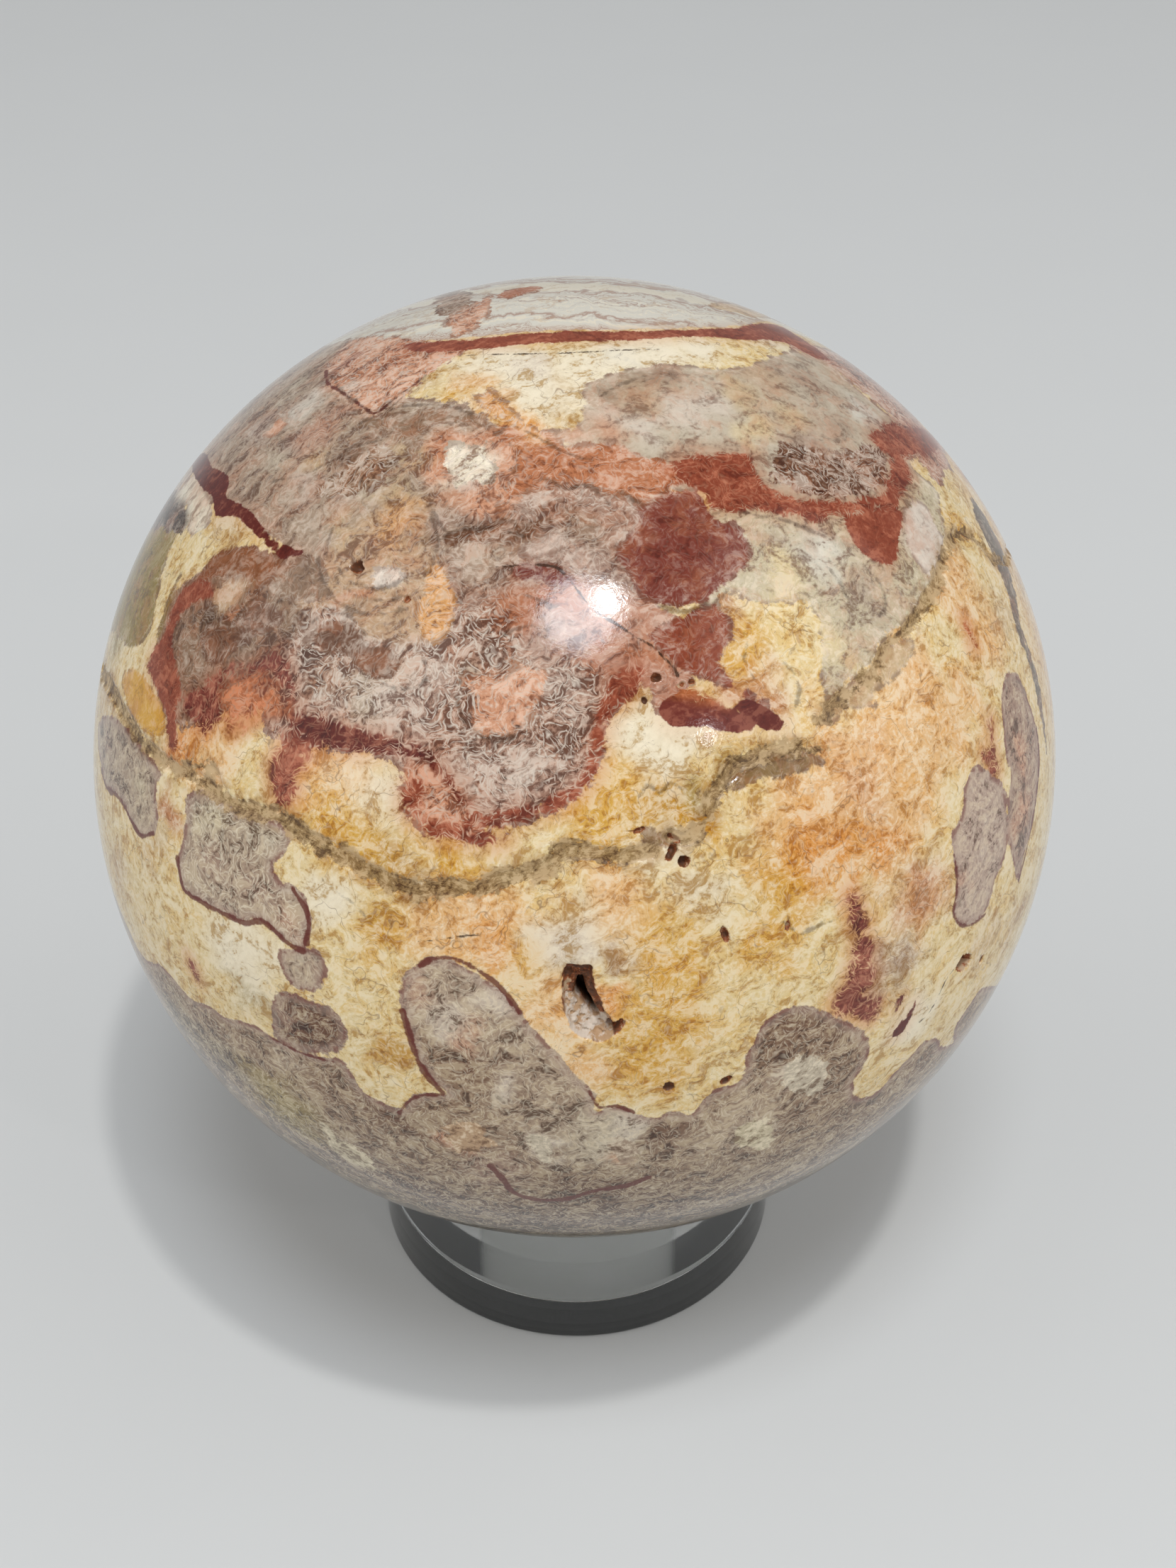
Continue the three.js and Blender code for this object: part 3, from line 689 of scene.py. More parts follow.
# What the picture doesn't show: a colour, a value as above, azimuth and elevation in degrees, length and
# width in millimetres, how far it leans from level in degrees, and a number that sets how uneven it is
HIDDEN_MASSES = [
    ("mauve", 0.9, 78, 10, 34, 20, 12, 1), ("ash", 0.7, 140, 8, 24, 15, 70, 2),
    ("chalk", 0.3, 30, 22, 22, 12, 120, 3), ("rose", 0.5, 110, 28, 15, 9, 20, 4),
    ("fawn", 0.3, 168, 34, 16, 9, 50, 5), ("taupe", 0.4, 52, -4, 14, 9, 30, 6),
    ("mauve", 0.8, 4, 2, 13, 8, 80, 7), ("chalk", 0.4, 118, -4, 12, 8, 150, 8),
]
HIDDEN_DETAILS = [
    ("umber", 0.2, 70, 14, 9, 4, 30, 11), ("garnet", 0.5, 92, 4, 10, 6, 160, 12),
    ("amber", 0.1, 134, 14, 8, 4, 60, 13), ("ivory", 0.5, 60, 6, 6, 4, 10, 14),
    ("salmon", 0.5, 86, 18, 7, 5, 100, 15), ("umber", 0.2, 150, 0, 8, 3, 110, 16),
    ("apricot", 0.3, 44, 32, 9, 5, 30, 17), ("pearl", 0.1, 24, 14, 6, 4, 100, 18),
    ("ivory", 0.3, 160, 20, 6, 4, 60, 19),
]
HIDDEN_JASPERS = [
    ("brick", 0.3, 96, 22, 26, 2.6, 8, 21), ("maroon", 0.2, 64, 20, 14, 2.2, 165, 22),
    ("brick", 0.4, 124, 16, 3, 12, 20, 23), ("maroon", 0.3, 78, -2, 22, 1.8, 170, 24),
    ("garnet", 0.3, 42, 12, 6, 5, 40, 25), ("brick", 0.3, 155, 26, 14, 2, 60, 26),
    ("maroon", 0.3, 14, 30, 11, 1.8, 110, 27), ("brick", 0.5, 100, 34, 22, 1.6, 5, 28),
    ("rust", 0.8, 128, 28, 9, 5, 40, 29),
]
HIDDEN_AGATES = [
    ("ash", 0.5, 26, -4, 11, 6, 70, 31), ("mauve", 0.4, 60, -12, 7, 5, 20, 32),
    ("lilac", 0.4, 176, 6, 10, 5, 100, 33), ("taupe", 0.4, 128, -8, 6, 5, 40, 34),
]
HIDDEN_EYES = [
    ("ash", 0.5, 20, -26, 5, 3.5, 20, 41), ("chalk", 0.3, 44, -20, 3, 2.4, 70, 42),
    ("fawn", 0.4, 66, -33, 4, 3, 10, 43), ("salmon", 0.5, 92, -15, 3, 2.2, 120, 44),
    ("ash", 0.5, 104, -28, 5, 4, 60, 45), ("chalk", 0.4, 132, -26, 3, 2, 40, 46),
    ("frost", 0.4, 150, -20, 4, 2.6, 90, 47), ("fawn", 0.4, 172, -24, 3.4, 2.6, 20, 48),
    ("ash", 0.5, -4, -20, 4, 3, 100, 49), ("frost", 0.3, 80, -44, 4, 3, 20, 50),
    ("salmon", 0.4, 160, -38, 3, 3, 60, 51),
]
# Soft tints there, each as a colour, azimuth and elevation in degrees and a radius in millimetres
HIDDEN_TINTS = [
    ("peach", 60, 30, 8), ("gold", 20, 4, 6), ("apricot", 36, -2, 6), ("ivory", 46, 24, 6),
    ("cream", 100, -2, 7), ("gold", 112, 8, 6), ("ivory", 156, 12, 7), ("olive", 170, 20, 6),
    ("peach", 6, 20, 8), ("gold", 160, -4, 6), ("ochre", 98, 14, 4), ("sand", 130, 32, 7),
    ("peach", 22, 40, 6), ("cream", 178, -2, 7), ("gold", 68, -8, 5),
]
# The seam's way round the back: half its width, and its points as azimuth and elevation
HIDDEN_SEAM = (0.34, [
    (-9, 35.6), (-4, 32), (2, 30), (10, 26), (18, 27), (28, 20), (38, 17), (48, 18), (58, 12), (66, 3),
    (76, 0), (88, -3), (98, 2), (108, 4), (118, 0), (128, 6), (138, 5), (148, 10), (158, 8), (170, 14),
    (178, 20),
])
# Colours strewn over the far side: between which angles, in degrees, how large, in millimetres, and then
# how many there are, the seed of their random places and their names
HIDDEN_AZIMUTHS = (-8, 188)
HIDDEN_ELEVATIONS = (-55, 42)
STREWN_RADII = (1.0, 3.0)
STREWN = {
    "ground": (50, 1, (
        "peach", "ivory", "gold", "frost", "apricot", "cream", "sand", "peach", "ochre", "chalk",
    )),
    "masses": (80, 2, (
        "lilac", "umber", "pearl", "rose", "ash", "frost", "terracotta", "mauve", "salmon", "taupe",
    )),
    "agate": (70, 3, (
        "frost", "umber", "ash", "slate_brown", "salmon", "chalk", "mauve", "umber", "pearl", "rose",
    )),
}

# Pits as cut in the solid, but for a wider hole on the right: azimuth, elevation and turn in degrees, then
# length, width and depth in millimetres
PITS = [
    (-77.7, 27.0, 0, 0.95, 0.8, 0.8), (-79.0, 28.1, 60, 1.35, 0.6, 0.7),
    (-78.5, 29.4, 140, 1.2, 0.45, 0.5), (-82.4, 30.6, 20, 0.9, 0.4, 0.4),
    (-78.4, 45.1, 20, 0.8, 0.65, 0.55), (-75.0, 44.1, 0, 0.5, 0.42, 0.35),
    (-73.6, 44.1, 30, 0.6, 0.5, 0.4), (-80.4, 43.0, 100, 0.5, 0.42, 0.4),
    (-42.9, 2.4, 150, 2.0, 1.6, 1.5), (-39.1, 0.3, 40, 0.9, 0.6, 0.35),
    (-127.5, 52.4, 150, 1.2, 0.95, 0.9), (-116.6, 51.2, 30, 0.6, 0.5, 0.35),
    (-80.2, 1.6, 70, 0.95, 0.8, 0.5), (-74.1, 1.2, 20, 1.0, 0.8, 0.5), (-73.9, 18.8, 105, 1.4, 0.6, 0.5),
    (-66.9, 18.1, 80, 0.8, 0.5, 0.4), (-85.6, 10.0, 35, 1.5, 0.9, 1.3), (74, 31, 130, 2.1, 1.2, 1.3),
    (79, 29, 20, 1.0, 0.7, 0.6), (128, -12, 60, 1.3, 1.0, 0.9), (163, 24, 100, 1.0, 0.7, 0.6),
    (21, 9, 15, 1.2, 0.7, 0.7),
]
# The vug's mouth, its throat and the pale plate inside it, in the picture's pixels, then its depths and the
# seams' in millimetres
VUG_MOUTH = [
    (794, 1365), (812, 1361), (834, 1362), (838, 1381), (846, 1405), (855, 1426), (868, 1446),
    (874, 1456), (851, 1472), (830, 1468), (814, 1462), (804, 1451), (795, 1427), (791, 1400),
]
VUG_THROAT = [
    (813, 1391), (823, 1389), (829, 1408), (841, 1430), (850, 1449), (834, 1444), (822, 1430),
    (808, 1414),
]
VUG_PLATE = [
    (797, 1408), (811, 1412), (819, 1424), (829, 1433), (840, 1441), (851, 1436), (861, 1448),
    (867, 1463), (856, 1475), (838, 1470), (818, 1465), (804, 1458), (796, 1430),
]
VUG_LEDGE_DEPTH = 0.9
VUG_LEDGE_SLOPE = 0.5
VUG_THROAT_DEPTH = 2.4
SEAM_DEPTH = 0.16

# How far round the vug, the pits, the seams and the lines the ball's mesh is finer, in millimetres, and how
# much of its length a pit adds
VUG_REACH = 3.4
PIT_REACH = 0.15
PIT_LENGTH_SHARE = 0.62
SEAM_REACH = 0.5
LINE_REACH = 0.2

# The waves that shift the soft tints, as sizes in millimetres and phases, and how far they shift them
BROAD_WAVES = ((5, 1), (6, 4), (4, 9))
FINE_WAVES = ((2, 2), (2.4, 5), (1.8, 7))
DRIFT = 0.035
# How much of its own colour the ground or a patch keeps among the tints laid into it
GROUND_BASE_SHARE = 0.15
PATCH_BASE_SHARE = 0.35
# Painted shade: how far the underside's colour is darkened towards the bottom, and between which drops
# below the ball's middle, as parts of its radius
UNDERSIDE_PAINTED_SHADE = 0.5
UNDERSIDE_PAINTED_SHADE_DROPS = (0.05, 0.65)
# How far round a pale eye the agate's bands follow it, in millimetres
EYE_REACH = 1.6

# How a material's tint changes with its tone: the parts of its red, green and blue left at its darkest,
# what it is multiplied by at its lightest, and the pale colour mixed into it there and that colour's share
TONES = {
    "ground": ((0.68, 0.54, 0.36), 1.12, "ivory", 0.5),
    "mass": ((0.45, 0.36, 0.33), 1.35, "frost", 0.45),
    "jasper": ((0.50, 0.36, 0.32), 1.5, "salmon", 0.3),
    "agate": ((0.38, 0.31, 0.27), 1.32, "chalk", 0.45),
    "eye": ((0.45, 0.37, 0.32), 1.25, "ivory", 0.5),
    "seam": ((0.30, 0.23, 0.17), 1.2, "sand", 0.7),
}
# Parts of red, green and blue left in the ground's golden crystal and in the stains beside the jasper and
# the seams
GOLDEN_CAST = (1.0, 0.82, 0.42)
JASPER_STAIN = (0.80, 0.48, 0.34)
SEAM_STAIN = (0.70, 0.58, 0.46)
# Frosty flecks of three sizes: how closely they lie, and their length and width in their own cells
FLECK_SIZES = ((1.9, 0.9, 0.16), (1.25, 0.9, 0.13), (0.75, 0.85, 0.085))
FLECK_SHARE = 1.2
# Across the white band's layers, and how the other streaks' long way is turned about the axes in radians
BAND_LAYERS = (0.06, 0.80, 0.55)
STREAK_TURN = (0.3, 0.45, -0.35)


# Placing things on the ball

def outward(azimuth, elevation):
    """The direction from the ball's centre at an azimuth and elevation in degrees."""
    turn = math.radians(azimuth)
    rise = math.radians(elevation)
    return np.array([math.cos(rise) * math.cos(turn), math.cos(rise) * math.sin(turn), math.sin(rise)])


def under_pixel(x, y):
    """The direction from the ball's centre to what a pixel shows, or to the nearest it comes."""
    pitch = math.radians(CAMERA_PITCH)
    forward = np.array([0, math.cos(pitch), -math.sin(pitch)])
    up = np.array([0, math.sin(pitch), math.cos(pitch)])
    ray = forward + np.array([1, 0, 0]) * (x - PICTURE_WIDTH / 2) / FOCAL_PIXELS
    ray = ray - up * (y - PICTURE_HEIGHT / 2) / FOCAL_PIXELS
    ray = ray / np.linalg.norm(ray)
    start = CAMERA_EYE - BALL_CENTRE
    towards = start @ ray
    inside = max(towards**2 - start @ start + BALL_RADIUS**2, 0)
    hit = start + ray * (-towards - math.sqrt(inside))
    return hit / np.linalg.norm(hit)


def tangents(normal):
    """Level and uphill directions across the ball's surface."""
    level = np.cross((0, 0, 1), normal)
    level = level / np.linalg.norm(level)
    return level, np.cross(normal, level)


def flattened(directions, centre, level, uphill):
    """Directions as millimetres in a plane that touches the ball at a centre, at true distances from it."""
    height = np.clip(directions @ centre, -1, 1)
    angle = np.arccos(height)
    stretch = BALL_RADIUS * angle / np.maximum(np.sin(angle), 1e-6)
    return np.stack([directions @ level * stretch, directions @ uphill * stretch], axis=1)


def rounded(points, closed=True, steps=3):
    """Points on a smooth curve through the given ones."""
    points = np.asarray(points, float)
    if closed:
        before, after, later = np.roll(points, 1, 0), np.roll(points, -1, 0), np.roll(points, -2, 0)
    else:
        extended = np.vstack([2 * points[0] - points[1], points, 2 * points[-1] - points[-2]])
        before, points, after, later = extended[:-3], extended[1:-2], extended[2:-1], extended[3:]
    curve = []
    for share in np.arange(steps) / steps:
        bend = 2 * before - 5 * points + 4 * after - later
        twist = 3 * points - before - 3 * after + later
        curve.append(0.5 * (2 * points + (after - before) * share + bend * share**2 + twist * share**3))
    curve = np.stack(curve, 1).reshape(-1, points.shape[1])
    return curve if closed else np.vstack([curve, after[-1]])


def uneven_ellipse(azimuth, elevation, length, width, turn, seed):
    """An uneven closed outline on the ball, for what the picture doesn't show."""
    centre = outward(azimuth, elevation)
    level, uphill = tangents(centre)
    lean = math.radians(turn)
    along = level * math.cos(lean) + uphill * math.sin(lean)
    across = uphill * math.cos(lean) - level * math.sin(lean)
    outline = []
    steps = 28
    for step in range(steps):
        angle = step / steps * math.tau
        swell = 1 + 0.16 * math.sin(2 * angle + seed) + 0.12 * math.sin(5 * angle + 2.3 * seed)
        swell += 0.08 * math.sin(9 * angle + 4.1 * seed)
        reach = along * length / 2 * math.cos(angle) + across * width / 2 * math.sin(angle)
        point = centre * BALL_RADIUS + reach * swell
        outline.append(point / np.linalg.norm(point))
    return outline


def outline_distance(points, outline):
    """How far inside an outline each point of a plane lies, negative outside."""
    nearest = np.full(len(points), np.inf)
    inside = np.zeros(len(points), bool)
    for start, end in zip(outline, np.roll(outline, -1, 0)):
        side = end - start
        offset = points - start
        share = np.clip(offset @ side / max(side @ side, 1e-12), 0, 1)
        gap = offset - share[:, None] * side
        nearest = np.minimum(nearest, gap[:, 0] ** 2 + gap[:, 1] ** 2)
        straddles = (start[1] > points[:, 1]) != (end[1] > points[:, 1])
        rise = side[1] if abs(side[1]) > 1e-12 else 1e-12
        inside ^= straddles & (offset[:, 0] < side[0] * offset[:, 1] / rise)
    return np.where(inside, 1, -1) * np.sqrt(nearest)


# Distances to an outline or a line are worked out up to here, in millimetres.
FAR_OUTSIDE = -4.0


def patch_distance(directions, outline):
    """How far inside an outline each direction lies, in millimetres, no less than FAR_OUTSIDE."""
    outline = np.asarray(outline)
    centre = outline.mean(0)
    centre = centre / np.linalg.norm(centre)
    level, uphill = tangents(centre)
    flat_outline = rounded(flattened(outline, centre, level, uphill))
    reach = np.linalg.norm(flat_outline, axis=1).max() - FAR_OUTSIDE
    near = directions @ centre > math.cos(min(reach / BALL_RADIUS, math.pi))
    distance = np.full(len(directions), FAR_OUTSIDE)
    flat = flattened(directions[near], centre, level, uphill)
    distance[near] = np.maximum(outline_distance(flat, flat_outline), FAR_OUTSIDE)
    return distance


def line_distance(directions, line, closeness=3.0):
    """How far each direction lies from a line on the ball, in millimetres, no more than the closeness."""
    nearest = np.full(len(directions), closeness)
    curve = rounded(line, closed=False) * BALL_RADIUS
    for start, end in zip(curve[:-1], curve[1:]):
        middle = (start + end) / 2
        side = end - start
        reach = closeness + np.linalg.norm(side)
        near = directions @ middle > BALL_RADIUS * math.cos(reach / BALL_RADIUS)
        offset = directions[near] * BALL_RADIUS - start
        share = np.clip(offset @ side / (side @ side), 0, 1)
        gap = np.linalg.norm(offset - share[:, None] * side, axis=1)
        nearest[near] = np.minimum(nearest[near], gap)
    return nearest


def seen(pixels):
    """Pixels as directions."""
    return [under_pixel(x, y) for x, y in pixels]


def seen_lines(lines):
    """Lines in the picture's pixels as half widths and directions."""
    return [(width, seen(line)) for width, line in lines]


def turned(places):
    """Azimuths and elevations as directions."""
    return [outward(azimuth, elevation) for azimuth, elevation in places]


def line_field(directions, lines):
    """How far inside the nearest of several lines each direction lies, in millimetres, negative outside."""
    field = np.full(len(directions), FAR_OUTSIDE)
    for half_width, line in lines:
        field = np.maximum(field, half_width - line_distance(directions, np.asarray(line)))
    return field


# The ball's mesh

def geodesic(frequency):
    """Directions and triangles of a ball whose icosahedron's edges are split into frequency parts."""
    golden = (1 + math.sqrt(5)) / 2
    corners = []
    for first in (-1, 1):
        for second in (-golden, golden):
            corners += [(0, first, second), (first, second, 0), (second, 0, first)]
    corners = np.array(corners)
    corners = corners / np.linalg.norm(corners[0])
    apart = np.linalg.norm(corners[:, None] - corners[None], axis=2)
    touching = (apart > 0.1) & (apart < 1.1)
    points = []
    triangles = []
    rows = [(i, j) for i in range(frequency + 1) for j in range(frequency + 1 - i)]
    number = {row: index for index, row in enumerate(rows)}
    grid = np.array(rows) / frequency
    local = [(number[i, j], number[i + 1, j], number[i, j + 1]) for i, j in rows if i + j < frequency]
    local += [
        (number[i + 1, j], number[i + 1, j + 1], number[i, j + 1])
        for i, j in rows
        if i + j < frequency - 1
    ]
    local = np.array(local)
    for a in range(12):
        for b in range(a + 1, 12):
            for c in range(b + 1, 12):
                if not (touching[a, b] and touching[b, c] and touching[a, c]):
                    continue
                one, two, three = corners[a], corners[b], corners[c]
                if np.linalg.det([one, two, three]) < 0:
                    two, three = three, two
                triangles.append(local + len(points) * len(rows))
                points.append(one + grid[:, :1] * (two - one) + grid[:, 1:] * (three - one))
    points = np.vstack(points)
    points = points / np.linalg.norm(points, axis=1, keepdims=True)
    _, first, same = np.unique(np.round(points, 6), axis=0, return_index=True, return_inverse=True)
    return points[first], same.reshape(-1)[np.vstack(triangles)]


def refined(points, triangles, wanted_length):
    """The ball with every edge split that is longer than wanted, and its neighbours kept matching."""
    corners = triangles[:, [0, 1, 1, 2, 2, 0]].reshape(-1, 2)
    corners = np.sort(corners, axis=1)
    keys, which = np.unique(corners[:, 0] * len(points) + corners[:, 1], return_inverse=True)
    which = which.reshape(-1, 3)
    starts, ends = keys // len(points), keys % len(points)
    middles = points[starts] + points[ends]
    middles = middles / np.linalg.norm(middles, axis=1, keepdims=True)
    lengths = np.linalg.norm(points[starts] - points[ends], axis=1) * BALL_RADIUS
    split = lengths > wanted_length(middles)
    while True:
        partly = split[which].sum(1) == 2
        if not partly.any():
            break
        split[which[partly]] = True
    added = np.full(len(keys), -1)
    added[split] = len(points) + np.arange(split.sum())
    new = added[which]
    count = (new >= 0).sum(1)
    a, b, c = triangles[count == 3].T
    ab, bc, ca = new[count == 3].T
    quartered = [np.stack(part, 1) for part in ((a, ab, ca), (ab, b, bc), (ca, bc, c), (ab, bc, ca))]
    halved = []
    for side in range(3):
        chosen = (count == 1) & (new[:, side] >= 0)
        start, end, tip = (triangles[chosen, (side + step) % 3] for step in range(3))
        middle = new[chosen, side]
        halved += [np.stack((start, middle, tip), 1), np.stack((middle, end, tip), 1)]
    return np.vstack([points, middles[split]]), np.vstack([triangles[count == 0], *quartered, *halved])


def waviness(points, size, phase):
    """A smooth number from about -1 to 1 that wanders over the ball in lumps of a size in millimetres."""
    x, y, z = (points * BALL_RADIUS / size * 2.2).T
    wave = np.sin(x * 1.1 + 2.3 * y + phase) * np.cos(1.7 * y - 1.3 * z + 2 * phase)
    wave += 0.6 * np.sin(2.9 * z - 1.9 * x + 3 * phase) * np.cos(2.3 * x + 1.1 * y - phase)
    return wave / 1.6


def pit_depth(points):
    """How deep each point sinks in the pits, in millimetres."""
    depth = np.zeros(len(points))
    for number, (azimuth, elevation, turn, length, width, deepest) in enumerate(PITS):
        centre = outward(azimuth, elevation)
        near = points @ centre > math.cos(length / BALL_RADIUS)
        level, uphill = tangents(centre)
        flat = flattened(points[near], centre, level, uphill)
        lean = math.radians(turn)
        along = flat[:, 0] * math.cos(lean) + flat[:, 1] * math.sin(lean)
        across = flat[:, 1] * math.cos(lean) - flat[:, 0] * math.sin(lean)
        out = np.hypot(along / (length / 2), across / (width / 2))
        out = out * (1 + 0.2 * waviness(points[near], 0.6, number))
        bowl = np.sqrt(np.clip(1 - out**2, 0, 1))
        rough = 1 + 0.15 * waviness(points[near], 0.3, number)
        depth[near] = np.maximum(depth[near], deepest * bowl * rough)
    return depth


def eased(values, low, high):
    """0 below low, 1 above high and smooth between them."""
    share = np.clip((values - low) / (high - low), 0, 1)
    return share * share * (3 - 2 * share)


def vug_depth(points):
    """How deep each point sinks in the vug: a pale ledge inside its mouth, and a throat below it."""
    mouth = patch_distance(points, seen(VUG_MOUTH)) + 0.1 * waviness(points, 0.5, 2)
    throat = patch_distance(points, seen(VUG_THROAT)) + 0.06 * waviness(points, 0.4, 5)
    rough = 1 + 0.25 * waviness(points, 0.35, 7)
    ledge = eased(mouth, 0, 0.3) * VUG_LEDGE_DEPTH * rough + eased(mouth, 0.3, 1.3) * VUG_LEDGE_SLOPE
    return ledge + eased(throat, -0.05, 0.4) * VUG_THROAT_DEPTH


def all_seams():
    """The seams in front and the one behind, as half widths and directions."""
    half_width, places = HIDDEN_SEAM
    return seen_lines(SEAMS) + [(half_width, turned(places))]


def wanted_length(settings, seams, thin_lines):
    """How long the ball's edges may be: short at the pits, the vug, the seams and the lines."""
    centres = [(outward(azimuth, elevation), length) for azimuth, elevation, _, length, _, _ in PITS]
    vug = np.mean(seen(VUG_MOUTH), 0)
    vug = vug / np.linalg.norm(vug)

    def wanted(points):
        length = np.full(len(points), np.inf)
        length[line_field(points, seams) > -SEAM_REACH] = settings.seam_edge / MM
        length[line_field(points, thin_lines) > -LINE_REACH] = settings.seam_edge / MM
        for centre, size in centres:
            reach = PIT_LENGTH_SHARE * size + PIT_REACH
            length[points @ centre > math.cos(reach / BALL_RADIUS)] = settings.pit_edge / MM
        length[points @ vug > math.cos(VUG_REACH / BALL_RADIUS)] = settings.pit_edge / MM
        return length

    return wanted


def linear(colour):
    """A colour as Blender's shaders count it."""
    parts = np.array(tuple(colour))
    return np.where(parts <= 0.04045, parts / 12.92, ((parts + 0.055) / 1.055) ** 2.4)


def patch_fields(points, patches, palette):
    """The distance inside the nearest of several patches, and their colours and values, blended."""
    field = np.full(len(points), FAR_OUTSIDE)
    tint = np.zeros((len(points), 4))
    weight = np.full(len(points), 1e-9)
    for colour, value, outline in patches:
        distance = patch_distance(points, outline)
        field = np.maximum(field, distance)
        share = np.exp(np.clip(distance, FAR_OUTSIDE, 2) / 0.25)
        share[distance <= FAR_OUTSIDE] = 0
        tint += share[:, None] * np.append(palette[colour], value)
        weight += share
    return field, tint / weight[:, None]


def waves(points, kinds):
    """Three wavy numbers side by side, of these sizes and phases."""
    return np.stack([waviness(points, size, phase) for size, phase in kinds], 1)


def soft_tints(points, base, spots, palette, base_share):
    """A base colour with soft spots of others, each a colour, a direction and a radius in millimetres."""
    drift = waves(points, BROAD_WAVES) + 0.5 * waves(points, FINE_WAVES)
    points = points + DRIFT * drift
    points = points / np.linalg.norm(points, axis=1, keepdims=True)
    weight = np.full(len(points), base_share)
    colour = np.broadcast_to(base, (len(points), 3)) * base_share
    for name, centre, radius in spots:
        angle = np.arccos(np.clip(points @ centre, -1, 1)) * BALL_RADIUS
        share = np.exp(-((angle / radius) ** 2) * 1.2)
        colour = colour + share[:, None] * palette[name]
        weight += share
    return colour / weight[:, None]


# The picture's scale at the ball
PIXELS_PER_MM = 21.0


def pixel_spots(tints):
    """Soft tints in the picture's pixels as spots on the ball."""
    return [
        (name, under_pixel(x, y), radius / PIXELS_PER_MM)
        for name, places in tints.items()
        for x, y, radius in places
    ]


def strewn(material):
    """Small spots of colour strewn over the side that the picture doesn't show."""
    count, seed, names = STREWN[material]
    random = np.random.default_rng(seed)
    azimuths = random.uniform(*HIDDEN_AZIMUTHS, count)
    elevations = random.uniform(*HIDDEN_ELEVATIONS, count)
    radii = random.uniform(*STREWN_RADII, count)
    places = enumerate(zip(azimuths, elevations, radii))
    return [(names[number % len(names)], outward(azimuth, elevation), radius)
            for number, (azimuth, elevation, radius) in places]


def with_hidden(patches, hidden):
    """Patches seen in the picture and hidden ones, with outlines as directions."""
    shown = [(colour, value, seen(outline)) for colour, value, outline in patches]
    return shown + [(colour, value, uneven_ellipse(*form)) for colour, value, *form in hidden]


def pattern_fields(points, palette):
    """Every number and colour that the stone's material reads from the mesh, by name."""
    fields = {}
    spots = pixel_spots(GROUND_TINTS)
    for name, azimuth, elevation, radius in HIDDEN_TINTS:
        spots.append((name, outward(azimuth, elevation), radius))
    spots += strewn("ground")
    fields["ground_tint"] = soft_tints(points, palette["cream"], spots, palette, GROUND_BASE_SHARE)

    for name, patches, hidden in (
        ("mass", MASSES, HIDDEN_MASSES),
        ("detail", DETAILS, HIDDEN_DETAILS),
        ("jasper", JASPERS, HIDDEN_JASPERS),
        ("eye", EYES, HIDDEN_EYES),
    ):
        fields[name], fields[name + "_tint"] = patch_fields(points, with_hidden(patches, hidden), palette)
    closed_gaps = np.minimum(patch_distance(points, seen(MASS_ZONE)), fields["mass"] + MASS_ZONE_REACH)
    fields["mass"] = np.maximum(fields["mass"], closed_gaps)
    tints = fields["mass_tint"]
    spots = pixel_spots(MASS_TINTS) + strewn("masses")
    tints[:, :3] = soft_tints(points, tints[:, :3], spots, palette, PATCH_BASE_SHARE)

    underside = seen(UNDERSIDE_FRONT) + turned(UNDERSIDE_BACK)
    lobes, lobe_tint = patch_fields(points, with_hidden(AGATES, HIDDEN_AGATES), palette)
    below = patch_distance(points, underside)
    # The underside's tints include painted shade along its lower edge.
    spots = pixel_spots(UNDERSIDE_TINTS_AND_SHADE) + strewn("agate")
    below_tint_and_shade = soft_tints(points, palette["taupe"], spots, palette, GROUND_BASE_SHARE)
    # Painted shade: the underside's colour darkens towards the bottom of the ball.
    below_tint_and_shade = below_tint_and_shade * (1 - UNDERSIDE_PAINTED_SHADE * eased(-points[:, 2:], *UNDERSIDE_PAINTED_SHADE_DROPS))
    below_tint_and_shade = np.hstack([below_tint_and_shade, np.full((len(points), 1), 0.5)])
    spots = pixel_spots(AGATE_TINTS)
    lobe_tint[:, :3] = soft_tints(points, lobe_tint[:, :3], spots, palette, PATCH_BASE_SHARE)
    fields["agate"] = np.maximum(lobes, below)
    fields["agate_tint"] = np.where((lobes > below)[:, None], lobe_tint, below_tint_and_shade)
    around_eyes = EYE_REACH - fields["eye"]
    fields["agate_depth"] = np.minimum(np.maximum(fields["agate"], 0), np.maximum(around_eyes, 0))

    fields["band"] = patch_distance(points, seen(BAND_FRONT) + turned(BAND_BACK))
    fields["seam"] = line_field(points, all_seams())
    for name, lines in (("crack", CRACKS), ("red_line", RED_LINES), ("brown_line", BROWN_LINES)):
        fields[name] = line_field(points, seen_lines(lines))
    fields["hollow"] = pit_depth(points) + vug_depth(points)
    fields["plate"] = patch_distance(points, seen(VUG_PLATE))
    return fields


def seam_depth(seam, points):
    """How far the seams lie below the polish, in millimetres."""
    return eased(seam + 0.12 * waviness(points, 1.2, 3), -0.12, 0.25) * SEAM_DEPTH


def make_mesh(name, positions, triangles):
    """A smooth-shaded mesh from positions in metres and triangles."""
    mesh = bpy.data.meshes.new(name)
    mesh.vertices.add(len(positions))
    mesh.vertices.foreach_set("co", np.asarray(positions, np.float32).ravel())
    mesh.loops.add(triangles.size)
    mesh.loops.foreach_set("vertex_index", triangles.ravel().astype(np.int32))
    mesh.polygons.add(len(triangles))
    mesh.polygons.foreach_set("loop_start", np.arange(0, triangles.size, 3, dtype=np.int32))
    mesh.update(calc_edges=True)
    mesh.validate()
    mesh.shade_smooth()
    return mesh


def store_field(mesh, name, values):
    """Numbers or colours kept on a mesh's points for its material to read."""
    kind = "FLOAT" if values.ndim == 1 else "FLOAT_COLOR"
    attribute = mesh.attributes.new(name, kind, "POINT")
    if values.ndim == 1:
        attribute.data.foreach_set("value", values.astype(np.float32))
        return
    if values.shape[1] == 3:
        values = np.hstack([values, np.ones((len(values), 1))])
    attribute.data.foreach_set("color", values.astype(np.float32).ravel())


